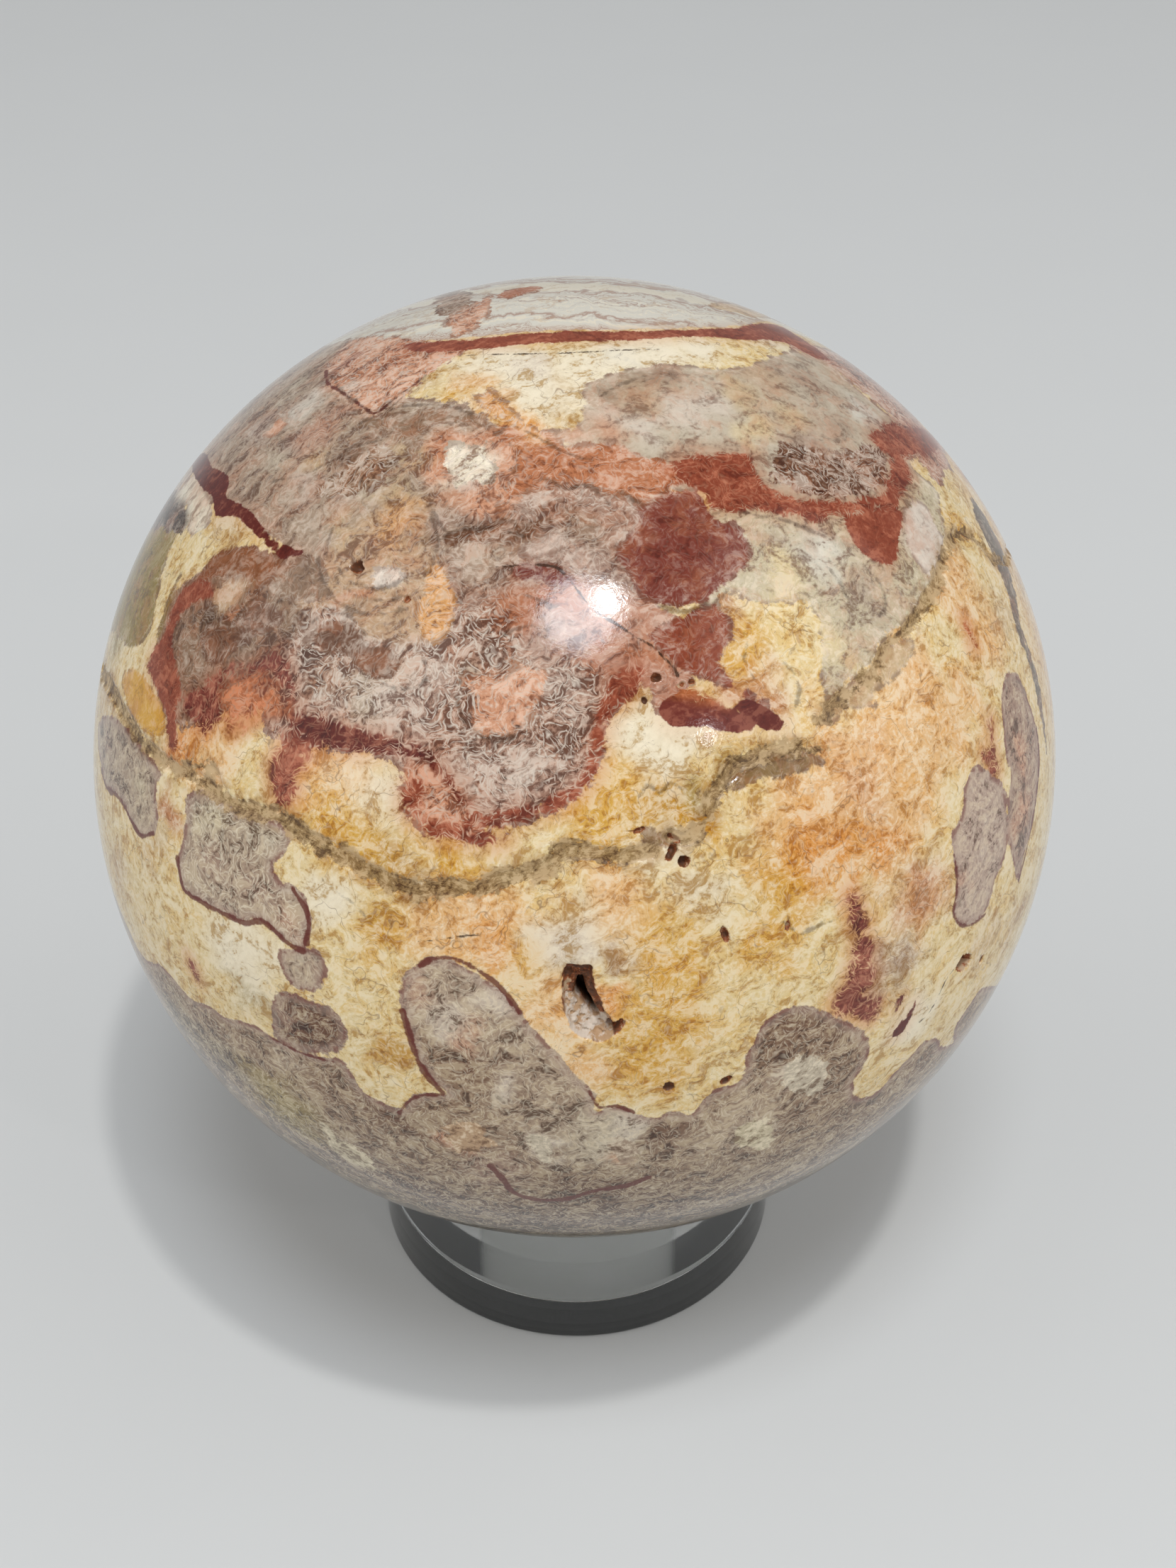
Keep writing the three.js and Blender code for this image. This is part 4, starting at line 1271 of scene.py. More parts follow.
def show(name, mesh):
    """An object in the scene with this mesh."""
    piece = bpy.data.objects.new(name, mesh)
    bpy.context.scene.collection.objects.link(piece)
    return piece


def make_stone(settings, palette):
    """The polished ball with its pits, its vug, its seams and the fields that its pattern is drawn from."""
    points, triangles = geodesic(settings.splits)
    wanted = wanted_length(settings, all_seams(), seen_lines(CRACKS + BROWN_LINES + RED_LINES))
    for _ in range(settings.refinements):
        points, triangles = refined(points, triangles, wanted)
    fields = pattern_fields(points, palette)
    depth = fields["hollow"] + seam_depth(fields["seam"], points)
    positions = (BALL_CENTRE + points * (BALL_RADIUS - depth)[:, None]) * MM
    mesh = make_mesh("polished_sphere", positions, triangles)
    for name, values in fields.items():
        store_field(mesh, name, values)
    return show("polished_sphere", mesh)


# Nodes and materials

class Nodes:
    """Short ways to add and link shader nodes. Most return the socket that carries the result."""

    def __init__(self, tree, palette=None):
        self.tree = tree
        self.palette = palette

    def add(self, kind, **settings):
        node = self.tree.nodes.new(kind)
        for name, value in settings.items():
            setattr(node, name, value)
        return node

    def feed(self, socket, value):
        """Links or sets a socket. A name stands for a colour of the palette."""
        if isinstance(value, str):
            value = self.palette[value]
        if isinstance(value, bpy.types.NodeSocket):
            self.tree.links.new(value, socket)
        elif socket.type == "RGBA" and np.size(value) == 3:
            socket.default_value = (*value, 1)
        else:
            socket.default_value = value

    def math(self, operation, first, second=None, third=None, clamp=False):
        node = self.add("ShaderNodeMath", operation=operation, use_clamp=clamp)
        for socket, value in zip(node.inputs, (first, second, third)):
            if value is not None:
                self.feed(socket, value)
        return node.outputs[0]

    def fill(self, node, **values):
        """A node with values or sockets fed to its inputs by name."""
        for name, value in values.items():
            self.feed(node.inputs[name], value)
        return node

    def times(self, first, second, clamp=False):
        return self.math("MULTIPLY", first, second, clamp=clamp)

    def scaled(self, value, factor, added, clamp=False):
        return self.math("MULTIPLY_ADD", value, factor, added, clamp)

    def vector(self, operation, first, second=None, scale=None):
        node = self.add("ShaderNodeVectorMath", operation=operation)
        self.feed(node.inputs[0], first)
        if second is not None:
            self.feed(node.inputs[1], second)
        if scale is not None:
            self.feed(node.inputs["Scale"], scale)
        return node.outputs["Value" if operation in ("LENGTH", "DOT_PRODUCT") else "Vector"]

    def between(self, value, low, high, start=0.0, end=1.0):
        """The value eased from start at low to end at high."""
        node = self.add("ShaderNodeMapRange", interpolation_type="SMOOTHSTEP", clamp=True)
        for socket, number in zip(node.inputs, (value, low, high, start, end)):
            self.feed(socket, number)
        return node.outputs[0]

    def mix(self, share, first, second):
        node = self.add("ShaderNodeMix", data_type="RGBA", blend_type="MIX")
        self.feed(node.inputs[0], share)
        self.feed(node.inputs[6], first)
        self.feed(node.inputs[7], second)
        return node.outputs[2]

    def over(self, colour, coat, mask, amount):
        """A colour with part of a coat laid over it where a mask is."""
        return self.mix(self.times(mask, amount), colour, coat)

    def noise(self, where, scale, detail=4.0, roughness=0.55, distortion=0.0):
        """A noise node, whose outputs are Fac and Color."""
        node = self.add("ShaderNodeTexNoise")
        self.fill(node, Vector=where, Scale=scale, Detail=detail, Roughness=roughness)
        return self.fill(node, Distortion=distortion)

    def strips(self, along, scale):
        """A noise along one number only, for streaks and bands."""
        node = self.add("ShaderNodeTexNoise", noise_dimensions="1D")
        return self.fill(node, W=along, Scale=scale, Detail=5.0, Roughness=0.75).outputs["Fac"]

    def cells(self, where, scale, detail=0.0, feature="F1"):
        """A cell texture, in finer and finer cells where it has detail."""
        node = self.add("ShaderNodeTexVoronoi", voronoi_dimensions="3D", feature=feature)
        node.normalize = True
        return self.fill(node, Vector=where, Scale=scale, Detail=detail, Roughness=0.8, Lacunarity=2.3)

    def channels(self, colour):
        """The red, green and blue of a colour."""
        node = self.add("ShaderNodeSeparateColor")
        self.feed(node.inputs[0], colour)
        return tuple(node.outputs)

    def field(self, name, output="Fac"):
        return self.add("ShaderNodeAttribute", attribute_name=name).outputs[output]

    def patch(self, name):
        """A kind of patch's field, tint and value."""
        return self.field(name), self.field(name + "_tint", "Color"), self.field(name + "_tint", "Alpha")

    def group(self, tree, **values):
        return self.fill(self.add("ShaderNodeGroup", node_tree=tree), **values).outputs[0]

    def bump(self, height, strength, distance):
        node = self.add("ShaderNodeBump")
        return self.fill(node, Strength=strength, Distance=distance * MM, Height=height).outputs[0]


def new_material(name, palette=None):
    """A material, its node helper and its shader."""
    material = bpy.data.materials.new(name)
    material.use_nodes = True
    tree = material.node_tree
    return material, Nodes(tree, palette), tree.nodes["Principled BSDF"]


def new_group(name, inputs, outputs):
    """An empty shader node group, its helper, its input node and its output node."""
    tree = bpy.data.node_groups.new(name, "ShaderNodeTree")
    for label, kind, default in inputs:
        socket = tree.interface.new_socket(label, in_out="INPUT", socket_type=kind)
        if default is not None:
            socket.default_value = default
    for label, kind in outputs:
        tree.interface.new_socket(label, in_out="OUTPUT", socket_type=kind)
    nodes = Nodes(tree)
    return tree, nodes, nodes.add("NodeGroupInput"), nodes.add("NodeGroupOutput")


def flecks_group():
    """Short pale strokes that lie in the surface every way, one at most in each cell of a scattering."""
    tree, nodes, given, result = new_group(
        "Frost Flecks",
        [
            ("Place", "NodeSocketVector", None),
            ("Outward", "NodeSocketVector", None),
            ("Length", "NodeSocketFloat", 0.4),
            ("Width", "NodeSocketFloat", 0.06),
            ("Share", "NodeSocketFloat", 0.5),
        ],
        [("Mask", "NodeSocketFloat")],
    )
    outwards = given.outputs["Outward"]

    def level(vector):
        raised = nodes.vector("SCALE", outwards, scale=nodes.vector("DOT_PRODUCT", vector, outwards))
        return nodes.vector("SUBTRACT", vector, raised)

    cells = nodes.cells(given.outputs["Place"], 1.0)
    offset = level(nodes.vector("SUBTRACT", given.outputs["Place"], cells.outputs["Position"]))
    way = level(nodes.vector("SUBTRACT", cells.outputs["Color"], (0.5, 0.5, 0.5)))
    way = nodes.vector("NORMALIZE", way)
    along = nodes.math("ABSOLUTE", nodes.vector("DOT_PRODUCT", offset, way))
    across = nodes.vector("LENGTH", nodes.vector("CROSS_PRODUCT", offset, way))
    chance = nodes.add("ShaderNodeTexWhiteNoise", noise_dimensions="3D")
    nodes.feed(chance.inputs["Vector"], cells.outputs["Position"])
    faint = nodes.math("SUBTRACT", given.outputs["Share"], 0.5)
    kept = nodes.between(chance.outputs["Value"], given.outputs["Share"], faint)
    thin = nodes.between(across, given.outputs["Width"], 0.0)
    short = nodes.between(along, given.outputs["Length"], 0.0)
    nodes.feed(result.inputs["Mask"], nodes.times(nodes.times(thin, short), kept))
    return tree


def hairlines_group():
    """Thin broken lines along the edges of a scattering's cells."""
    tree, nodes, given, result = new_group(
        "Hairlines",
        [
            ("Place", "NodeSocketVector", None),
            ("Width", "NodeSocketFloat", 0.03),
            ("Chance", "NodeSocketFloat", 0.5),
        ],
        [("Mask", "NodeSocketFloat")],
    )
    cells = nodes.cells(given.outputs["Place"], 1.0, feature="DISTANCE_TO_EDGE")
    broken = nodes.between(given.outputs["Chance"], 0.45, 0.62)
    line = nodes.between(cells.outputs["Distance"], given.outputs["Width"], 0.0)
    nodes.feed(result.inputs["Mask"], nodes.times(line, broken))
    return tree


def ragged(nodes, field, wobble, amount, softness):
    """A patch's mask from its field, with its edge made ragged by a noise of mean one half."""
    shift = nodes.scaled(nodes.math("SUBTRACT", wobble, 0.5), amount, field)
    if isinstance(softness, bpy.types.NodeSocket):
        return nodes.between(shift, nodes.times(softness, -1.0), softness)
    return nodes.between(shift, -softness, softness)


def toned(nodes, tint, tone, material):
    """A material's tint, darker where the tone is below one half and lighter where it is above."""
    dark, light, pale, share = TONES[material]
    low = nodes.vector("MULTIPLY", tint, dark)
    high = nodes.mix(share, nodes.vector("SCALE", tint, scale=light), pale)
    middle = nodes.mix(nodes.between(tone, 0.0, 0.5), low, tint)
    return nodes.mix(nodes.between(tone, 0.5, 1.0), middle, high)


def stone_material(palette):
    """Polished breccia: cream ground, mottled masses, windows, red jasper, banded agate, seams and pits."""
    material, nodes, principled = new_material("polished_breccia", palette)

    place = nodes.add("ShaderNodeTexCoord").outputs["Object"]
    place = nodes.vector("SCALE", place, scale=1 / MM)
    wander = nodes.noise(place, 0.8, detail=5, roughness=0.66)
    ragged_a, ragged_b, ragged_c = nodes.channels(wander.outputs["Color"])
    swirl = nodes.noise(place, 0.45, detail=2, roughness=0.5).outputs["Color"]
    bent = nodes.vector("ADD", place, nodes.vector("SCALE", swirl, scale=3.2))
    outwards = nodes.vector("NORMALIZE", nodes.vector("SUBTRACT", place, tuple(BALL_CENTRE)))
    broad = nodes.noise(place, 0.33, detail=4, roughness=0.6, distortion=0.6).outputs["Fac"]
    lumps = nodes.noise(bent, 0.4, detail=8, roughness=0.66).outputs["Fac"]
    grain = nodes.noise(place, 3.0, detail=2, roughness=0.6).outputs["Fac"]
    flake_tone, flake_hue, _ = nodes.channels(nodes.cells(bent, 0.9, detail=1.6).outputs["Color"])
    long_way = nodes.add("ShaderNodeVectorRotate", rotation_type="EULER_XYZ")
    nodes.fill(long_way, Vector=bent, Rotation=STREAK_TURN)
    stretched = nodes.vector("MULTIPLY", long_way.outputs[0], (0.19, 1.05, 1.05))
    flow = nodes.noise(stretched, 1.0, detail=4, roughness=0.66).outputs["Fac"]
    tone = nodes.scaled(lumps, 2.1, -2.75)
    tone = nodes.scaled(flow, 2.8, tone)
    tone = nodes.scaled(flake_tone, 0.4, tone)
    tone = nodes.scaled(grain, 1.3, tone, clamp=True)
    middling = nodes.math("ABSOLUTE", nodes.math("SUBTRACT", flow, 0.47))
    veins = nodes.times(nodes.between(middling, 0.007, 0.002), nodes.between(ragged_a, 0.48, 0.54))

    flecks = flecks_group()
    frost = 0.0
    for density, length, width in FLECK_SIZES:
        closer = nodes.vector("SCALE", bent, scale=density)
        strokes = nodes.group(
            flecks, Place=closer, Outward=outwards, Length=length, Width=width, Share=FLECK_SHARE
        )
        frost = nodes.math("MAXIMUM", strokes, frost)
    wider = nodes.vector("SCALE", bent, scale=0.42)
    crazing = nodes.group(hairlines_group(), Place=wider, Width=0.022, Chance=broad)

    # The cream ground: flakes of pale and golden crystal with brown between them
    tint = nodes.field("ground_tint", "Color")
    golden = nodes.between(nodes.scaled(broad, 1.6, flake_hue), 1.15, 1.65)
    golden_tint = nodes.vector("MULTIPLY", tint, GOLDEN_CAST)
    golden = nodes.times(golden, nodes.between(nodes.channels(tint)[2], 0.5, 0.3))
    tint = nodes.over(tint, golden_tint, golden, 0.45)
    colour = toned(nodes, tint, tone, "ground")
    colour = nodes.over(colour, "umber", veins, 0.5)
    colour = nodes.over(colour, "ivory", frost, 0.3)
    colour = nodes.over(colour, "umber", crazing, 0.5)

    # The white band, with streaks that run along it
    band = nodes.field("band")
    height_in_band = nodes.vector("DOT_PRODUCT", place, BAND_LAYERS)
    streaks = nodes.strips(nodes.scaled(broad, 4.0, height_in_band), 0.55)
    white = nodes.mix(nodes.between(streaks, 0.50, 0.62), "porcelain", "lilac")
    white = nodes.over(white, "ivory", nodes.between(streaks, 0.47, 0.42), 0.6)
    white = nodes.over(white, "fawn", nodes.between(tone, 0.4, 0.1), 0.35)
    colour = nodes.mix(ragged(nodes, band, ragged_a, 1.5, 0.12), colour, white)

    # Mottled masses, then the windows and chips in them
    for name, wobble in (("mass", ragged_b), ("detail", ragged_c)):
        field, tint, fleck = nodes.patch(name)
        drift = nodes.between(nodes.scaled(flake_hue, 0.4, broad), 0.6, 0.95)
        tint = nodes.over(tint, "terracotta", drift, 0.35)
        strength = nodes.scaled(fleck, 1.0, 0.42)
        own_tone = nodes.scaled(nodes.math("SUBTRACT", tone, 0.5), strength, 0.5)
        own_tone = nodes.math("ADD", own_tone, nodes.between(field, 0.2, 2.5, 0.08, -0.1))
        body = toned(nodes, tint, own_tone, "mass")
        edge_frost = nodes.between(field, 0.9, 0.1, 0.0, 0.3)
        frosting = nodes.times(frost, nodes.math("ADD", fleck, edge_frost), clamp=True)
        body = nodes.over(body, "frost", frosting, 0.9)
        vein_share = nodes.scaled(fleck, 0.5, 0.12)
        body = nodes.over(body, "bark", veins, vein_share)
        rim = nodes.times(nodes.between(field, 0.4, 0.0), nodes.between(wobble, 0.46, 0.56))
        body = nodes.over(body, "umber", rim, 0.5)
        raggedness = nodes.scaled(fleck, 2.4, 1.8)
        colour = nodes.mix(ragged(nodes, field, wobble, raggedness, 0.14), colour, body)

    # Red jasper, with a stain round its softer edges
    field, tint, soft = nodes.patch("jasper")
    stain = nodes.times(nodes.between(field, -1.6, 0.2), nodes.scaled(soft, 0.8, 0.25))
    colour = nodes.mix(stain, colour, nodes.vector("MULTIPLY", colour, JASPER_STAIN))
    calm = nodes.scaled(soft, 0.6, 0.55)
    red_tone = nodes.scaled(nodes.math("SUBTRACT", tone, 0.5), calm, 0.5)
    red = toned(nodes, tint, red_tone, "jasper")
    red = nodes.over(red, "salmon", frost, nodes.times(soft, 0.9))
    whiskered = nodes.scaled(frost, nodes.times(soft, -1.2), field)
    softness = nodes.scaled(soft, 0.6, 0.06)
    raggedness = nodes.scaled(soft, 3.0, 0.8)
    colour = nodes.mix(ragged(nodes, whiskered, ragged_a, raggedness, softness), colour, red)

    # Banded agate, whose bands keep to the distance from its edge
    field, tint, fleck = nodes.patch("agate")
    bands = nodes.strips(nodes.scaled(broad, 2.6, nodes.field("agate_depth")), 1.5)
    near_edge = nodes.between(nodes.field("agate_depth"), 2.5, 0.3, 0.5, 1.5)
    banding = nodes.scaled(nodes.math("SUBTRACT", bands, 0.5), near_edge, 0.0)
    banding = nodes.math("ADD", banding, nodes.scaled(tone, 1.05, 0.0), clamp=True)
    agate = toned(nodes, tint, banding, "agate")
    agate = nodes.over(agate, "ivory", frost, nodes.times(fleck, 0.9))
    agate = nodes.over(agate, "lilac", nodes.between(field, 1.1, 0.3), 0.45)
    rim = nodes.times(nodes.between(field, 0.5, 0.15), nodes.between(ragged_c, 0.45, 0.54))
    agate = nodes.over(agate, "plum", rim, 0.6)
    colour = nodes.mix(ragged(nodes, field, ragged_b, 1.2, 0.08), colour, agate)
    eye = toned(nodes, nodes.field("eye_tint", "Color"), tone, "eye")
    colour = nodes.mix(ragged(nodes, nodes.field("eye"), ragged_c, 3.0, 0.12), colour, eye)
    red_line = ragged(nodes, nodes.field("red_line"), ragged_c, 0.7, 0.07)
    colour = nodes.over(colour, "maroon", red_line, 0.85)
    brown_line = ragged(nodes, nodes.field("brown_line"), ragged_a, 1.3, 0.14)
    colour = nodes.over(colour, "bark", brown_line, 0.5)

    # Seams, cracks and hollows
    field = nodes.field("seam")
    beside = nodes.times(nodes.between(field, -1.0, 0.1), nodes.between(ragged_b, 0.44, 0.54))
    beside_tint = nodes.vector("MULTIPLY", colour, SEAM_STAIN)
    colour = nodes.over(colour, beside_tint, beside, 0.8)
    seam = ragged(nodes, field, ragged_a, 3.4, 0.11)
    seam_strips = nodes.strips(nodes.scaled(broad, 1.6, field), 2.4)
    seam_tone = nodes.scaled(tone, 1.2, -1.45)
    seam_tone = nodes.scaled(seam_strips, 3.0, seam_tone, clamp=True)
    seam_colour = toned(nodes, "khaki", seam_tone, "seam")
    colour = nodes.over(colour, seam_colour, seam, 0.85)
    crack = ragged(nodes, nodes.field("crack"), ragged_b, 0.5, 0.05)
    colour = nodes.over(colour, "bark", crack, 0.85)
    hollow = nodes.field("hollow")
    lining = nodes.mix(nodes.between(tone, 0.2, 0.8), "umber", "rust")
    lining = nodes.over(lining, "chalk", nodes.between(tone, 0.6, 0.9), 0.7)
    plate = nodes.mix(nodes.between(tone, 0.2, 0.6), "fawn", "frost")
    lining = nodes.mix(nodes.between(nodes.field("plate"), -0.05, 0.12), lining, plate)
    colour = nodes.mix(nodes.between(hollow, 0.03, 0.2), colour, lining)
    # Painted shade: deep in the vug's throat the colour turns to dark bark brown with depth.
    colour = nodes.mix(nodes.between(hollow, 1.9, 3.0), colour, "bark")

    # The palette holds colours as they are seen, and the polish lays a pale veil over the stone's own.
    unveiled = nodes.fill(nodes.add("ShaderNodeGamma"), Gamma=VEIL_GAMMA, Color=colour)
    nodes.feed(principled.inputs["Base Color"], unveiled.outputs[0])
    dull = nodes.math("MAXIMUM", nodes.times(seam, 0.6), nodes.between(hollow, 0.02, 0.15))
    polish = nodes.scaled(lumps, 0.10, 0.07)
    roughness = nodes.scaled(dull, 0.45, polish)
    waves_in_polish = nodes.noise(place, 0.9, detail=4, roughness=0.7).outputs["Fac"]
    bump = nodes.bump(waves_in_polish, 0.3, 0.05)
    nodes.fill(principled, Roughness=roughness, IOR=STONE_IOR, Normal=bump)
    principled.inputs["Specular IOR Level"].default_value = STONE_SPECULAR_LEVEL
    return material


# The ring

def ring_profile():
    """Radius and height of the ring's section, with short steps beside each rounded edge."""
    outer, bore, top = RING_OUTER_RADIUS, RING_BORE_RADIUS, RING_HEIGHT
    bevel = 0.5
    support = 0.08
    profile = []

    def arc(centre, start, end, radius=bevel, steps=6):
        for step in range(steps + 1):
            angle = math.radians(start + (end - start) * step / steps)
            profile.append((centre[0] + radius * math.cos(angle), centre[1] + radius * math.sin(angle)))

    seat_low = top - RING_SEAT_DROP
    profile += [(bore + bevel + support, 0), (outer - bevel - support, 0)]
    arc((outer - bevel, bevel), -90, 0)
    profile += [(outer, bevel + support), (outer, top - bevel - support)]
    arc((outer - bevel, top - bevel), 0, 90)
    profile += [(outer - bevel - support, top), (bore + RING_SEAT_WIDTH + 0.2, top)]
    # The seat, with short steps on both sides of its edges
    profile += [(bore + RING_SEAT_WIDTH, top), (bore + RING_SEAT_WIDTH - 0.1, top - 0.04)]
    profile += [(bore + 0.15, seat_low + 0.04), (bore, seat_low - 0.06)]
    profile += [(bore, seat_low - 0.2), (bore, bevel + support)]
    arc((bore + bevel, bevel), 180, 270)
    return profile


def make_ring(settings):
    """The clear ring, turned from its section."""
    profile = ring_profile()
    sides = settings.sides
    angles = np.arange(sides) / sides * math.tau
    circle = np.stack([np.cos(angles), np.sin(angles), np.zeros(sides)], 1)
    positions = np.vstack([circle * radius + (0, 0, height) for radius, height in profile]) * MM
    triangles = []
    rows = len(profile)
    for row in range(rows):
        low = row * sides + np.arange(sides)
        low_next = row * sides + (np.arange(sides) + 1) % sides
        high = (row + 1) % rows * sides + np.arange(sides)
        high_next = (row + 1) % rows * sides + (np.arange(sides) + 1) % sides
        triangles += [np.stack((low, low_next, high_next), 1), np.stack((low, high_next, high), 1)]
    mesh = make_mesh("clear_ring", positions, np.vstack(triangles))
    return show("clear_ring", mesh)


def acrylic_material(settings):
    """Clear cast acrylic with a faint handling haze and fine scratches."""
    material, nodes, principled = new_material("clear_acrylic")
    principled.inputs["Transmission Weight"].default_value = ACRYLIC_TRANSMISSION
    place = nodes.vector("SCALE", nodes.add("ShaderNodeTexCoord").outputs["Object"], scale=1 / MM)
    haze = nodes.noise(place, 0.35, detail=4, roughness=0.6).outputs["Fac"]
    roughness = nodes.between(haze, 0.45, 0.75, 0.01, 0.06)
    tint = tuple(linear(settings.tint))
    warm = nodes.mix(nodes.between(haze, 0.3, 0.7), tint, (0.97, 0.985, 0.98))
    nodes.feed(principled.inputs["Base Color"], warm)
    stretched = nodes.vector("MULTIPLY", place, (6.0, 6.0, 0.4))
    scratches = nodes.noise(stretched, 1.0, detail=5, roughness=0.7).outputs["Fac"]
    nodes.fill(principled, Roughness=roughness, IOR=ACRYLIC_IOR, Normal=nodes.bump(scratches, 0.08, 0.02))
    return material


# The stage

# Each light: its name, the way to it from the ball, its distance and width in metres, its share of the
# setting's power and its colour
WHITE = (1, 1, 1)
ROOM_COLOUR = (0.95, 0.97, 1.0, 1)
LAMPS = [
    ("overhead_lamp", (0.122, -0.303, 0.945), 0.9, 0.04, 0.5, WHITE),
    ("overhead_glow", (0.02, -0.36, 0.93), 0.9, 0.26, 0.75, (0.86, 0.92, 1.0)),
    ("front_right_lamp", (0.483, -0.638, 0.599), 0.8, 0.035, 0.05, WHITE),
]
SOFTBOXES = [
    ("left_softbox", (-0.85, -0.25, 0.6), 1.2, 1.3, 1.0, WHITE),
    ("right_softbox", (0.85, -0.15, 0.6), 1.2, 1.3, 1.0, WHITE),
    ("front_softbox", (0.0, -0.95, 0.25), 1.4, 1.2, 0.4, WHITE),
]


def floor_material(settings):
    """Plain pale matt floor."""
    material, nodes, principled = new_material("pale_floor")
    place = nodes.add("ShaderNodeTexCoord").outputs["Object"]
    tone = nodes.noise(place, 40.0, detail=3, roughness=0.5).outputs["Fac"]
    colour = linear(settings.floor_colour)
    nodes.feed(principled.inputs["Base Color"], nodes.mix(tone, tuple(colour * 0.98), tuple(colour)))
    principled.inputs["Roughness"].default_value = 0.8
    return material


def add_light(name, direction, distance, size, power, colour):
    """A round area light that looks at the ball from a direction."""
    light = bpy.data.lights.new(name, "AREA")
    light.shape = "DISK"
    light.size = size
    light.energy = power
    light.color = colour
    lamp = bpy.data.objects.new(name, light)
    towards = Vector(direction).normalized()
    lamp.location = Vector(BALL_CENTRE * MM) + towards * distance
    lamp.rotation_euler = towards.to_track_quat("Z", "Y").to_euler()
    bpy.context.scene.collection.objects.link(lamp)
    return lamp


def make_stage(settings):
    """Floor, lights and camera."""
    half = settings.floor_size / 2
    mesh = bpy.data.meshes.new("pale_floor")
    corners = [(-half, -half, 0), (half, -half, 0), (half, half, 0), (-half, half, 0)]
    mesh.from_pydata(corners, [], [(0, 1, 2, 3)])
    floor = show("pale_floor", mesh)
    floor.data.materials.append(floor_material(settings))

    for lights, power in ((LAMPS, settings.lamp_power), (SOFTBOXES, settings.softbox_power)):
        for name, direction, distance, size, share, colour in lights:
            add_light(name, direction, distance, size, power * share, colour)

    world = bpy.data.worlds.new("soft_room")
    world.use_nodes = True
    background = world.node_tree.nodes["Background"]
    background.inputs["Color"].default_value = ROOM_COLOUR
    background.inputs["Strength"].default_value = settings.room_light
    bpy.context.scene.world = world
    bpy.context.scene.view_settings.view_transform = "Standard"

    camera_data = bpy.data.cameras.new("camera")
    camera_data.sensor_fit = "AUTO"
    camera_data.sensor_width = SENSOR_SIZE
    camera_data.lens = SENSOR_SIZE * FOCAL_PIXELS / PICTURE_HEIGHT
    camera_data.clip_start = 0.01
    camera = bpy.data.objects.new("camera", camera_data)
    camera.location = CAMERA_EYE * MM
    camera.rotation_euler = Euler((math.radians(90 - CAMERA_PITCH), 0, 0))
    bpy.context.scene.collection.objects.link(camera)
    bpy.context.scene.camera = camera


# Settings, operators and panel

class StoneSettings(bpy.types.PropertyGroup):
    """Sizes of the polished ball's mesh."""

    splits: IntProperty(
        name="Splits", description="Parts each base edge is split into", default=68, min=8, max=100
    )
    refinements: IntProperty(
        name="Refinements", description="Rounds of splitting at the pits and lines", default=3, min=0, max=4
    )
    seam_edge: FloatProperty(
        name="Seam edge", description="Longest edge beside a seam", default=0.24 * MM, unit="LENGTH"
    )
    pit_edge: FloatProperty(
        name="Pit edge", description="Longest edge in a pit", default=0.13 * MM, unit="LENGTH"
    )


class StoneColours(bpy.types.PropertyGroup):
    """Colours of the stone's ground, masses, jasper and agate."""

    __annotations__ = {
        name: FloatVectorProperty(
            name=name.replace("_", " ").capitalize(),
            description=f"The {name.replace('_', ' ')} in the stone",
            default=tuple(part / 255 for part in colour),
            subtype="COLOR_GAMMA",
            min=0,
            max=1,
        )
        for name, colour in COLOURS.items()
    }


class RingSettings(bpy.types.PropertyGroup):
    """Roundness and tint of the clear ring."""

    sides: IntProperty(name="Sides", description="Steps round the ring", default=240, min=24, max=480)
    tint: FloatVectorProperty(
        name="Tint", description="Tint of the clear ring", default=(0.97, 0.98, 0.97), subtype="COLOR_GAMMA"
    )


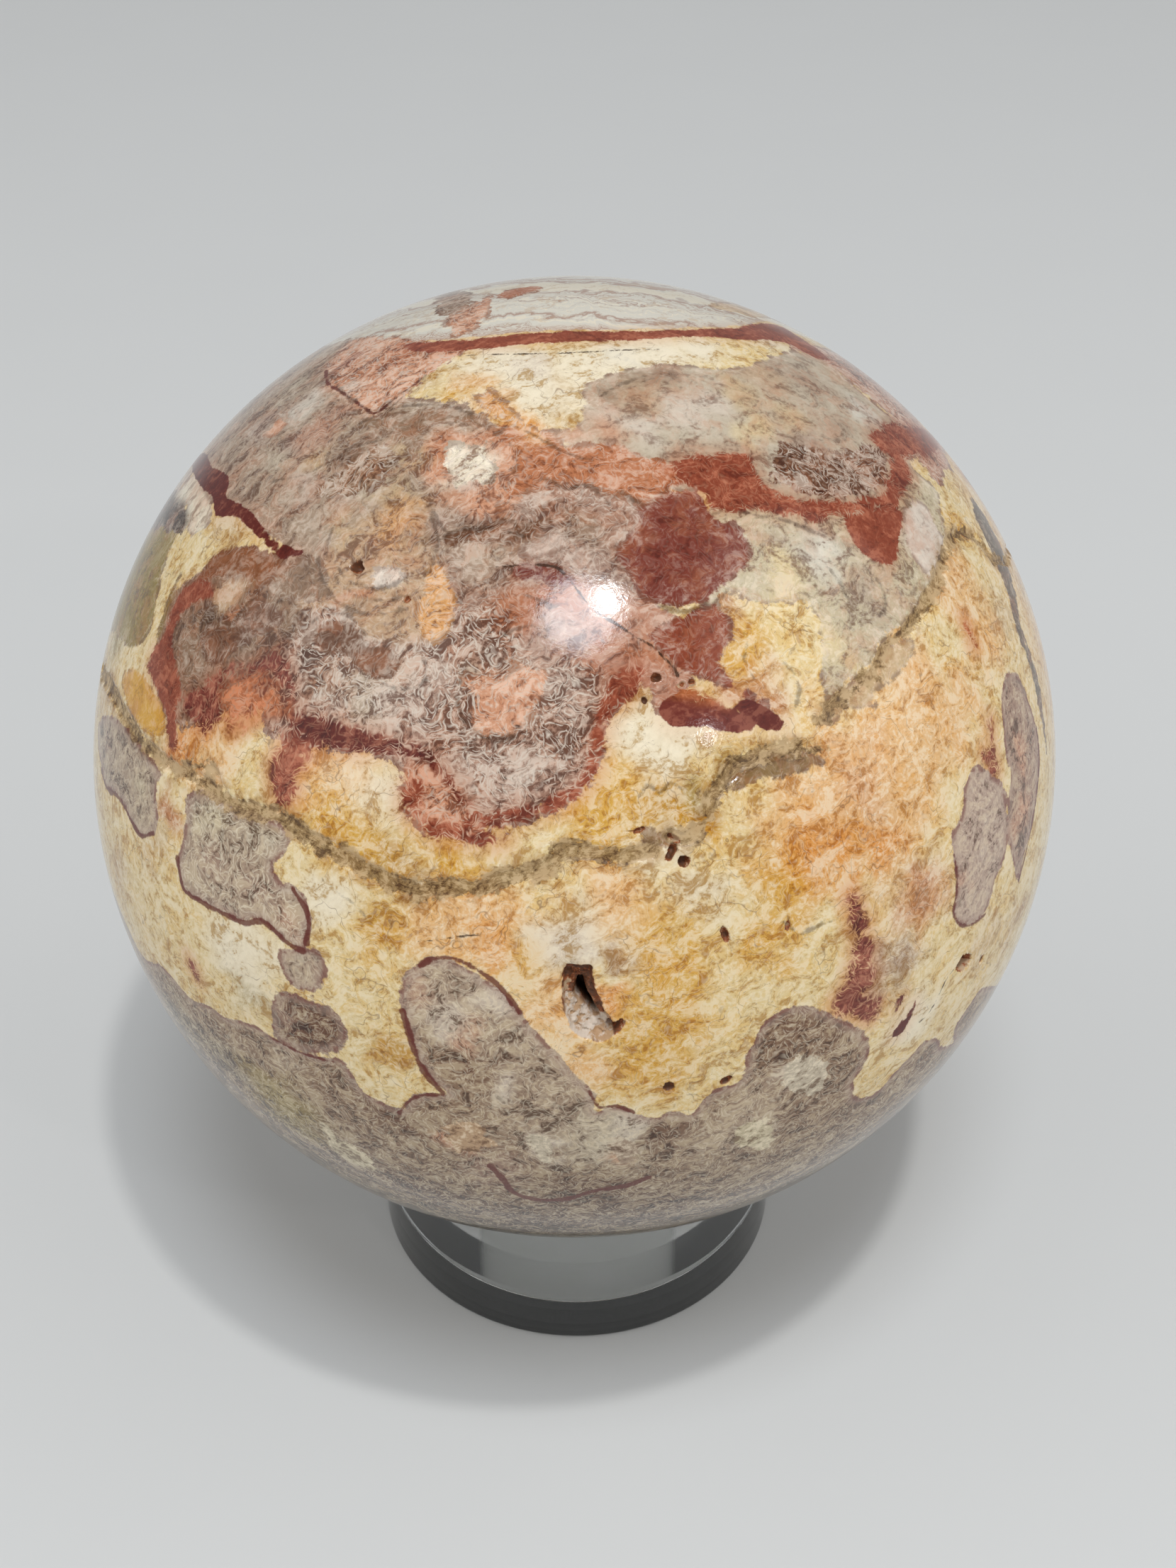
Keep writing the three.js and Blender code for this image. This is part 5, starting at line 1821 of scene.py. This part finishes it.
class StageSettings(bpy.types.PropertyGroup):
    """Floor and lights."""

    floor_size: FloatProperty(
        name="Floor size", description="Side of the floor", default=4.0, unit="LENGTH"
    )
    floor_colour: FloatVectorProperty(
        name="Floor colour",
        description="Colour of the floor",
        default=(0.86, 0.86, 0.85),
        subtype="COLOR_GAMMA",
    )
    lamp_power: FloatProperty(
        name="Lamp power", description="Power of a lamp with a whole share", default=3.4, unit="POWER"
    )
    softbox_power: FloatProperty(
        name="Softbox power", description="Power of a softbox with a whole share", default=3.0, unit="POWER"
    )
    room_light: FloatProperty(name="Room light", description="Strength of the room's light", default=0.32)


class SPHERE_OT_stone(bpy.types.Operator):
    """Make the polished ball"""

    bl_idname = "breccia.stone"
    bl_label = "Polished Sphere"

    def execute(self, context):
        scene = context.scene
        palette = {name: linear(getattr(scene.stone_colours, name)) for name in COLOURS}
        stone = make_stone(scene.stone_settings, palette)
        stone.data.materials.append(stone_material(palette))
        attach(stone, "root")
        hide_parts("stone")
        return {"FINISHED"}


class SPHERE_OT_ring(bpy.types.Operator):
    """Make the clear ring stand"""

    bl_idname = "breccia.ring"
    bl_label = "Clear Ring"

    def execute(self, context):
        settings = context.scene.ring_settings
        ring = make_ring(settings)
        ring.data.materials.append(acrylic_material(settings))
        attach(ring, "root")
        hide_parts("ring_stand")
        return {"FINISHED"}


class SPHERE_OT_stage(bpy.types.Operator):
    """Make the floor, the lights and the camera"""

    bl_idname = "breccia.stage"
    bl_label = "Stage"

    def execute(self, context):
        make_stage(context.scene.stage_settings)
        return {"FINISHED"}


class SPHERE_PT_panel(bpy.types.Panel):
    """Lists the pieces"""

    bl_label = "Breccia Sphere"
    bl_space_type = "VIEW_3D"
    bl_region_type = "UI"
    bl_category = "Sphere"

    def draw(self, context):
        for operator in OPERATORS:
            self.layout.operator(operator.bl_idname)


SETTINGS = {
    "stone_settings": StoneSettings,
    "stone_colours": StoneColours,
    "ring_settings": RingSettings,
    "stage_settings": StageSettings,
}
OPERATORS = (SPHERE_OT_stage, SPHERE_OT_stone, SPHERE_OT_ring)
CLASSES = (*SETTINGS.values(), *OPERATORS, SPHERE_PT_panel)


def register():
    for kind in CLASSES:
        bpy.utils.register_class(kind)
    for name, kind in SETTINGS.items():
        setattr(bpy.types.Scene, name, PointerProperty(type=kind))


def unregister():
    for name in SETTINGS:
        delattr(bpy.types.Scene, name)
    for kind in reversed(CLASSES):
        bpy.utils.unregister_class(kind)


def main():
    register()
    bpy.ops.breccia.stage()
    bpy.ops.breccia.stone()
    bpy.ops.breccia.ring()


if __name__ == "__main__":
    main()
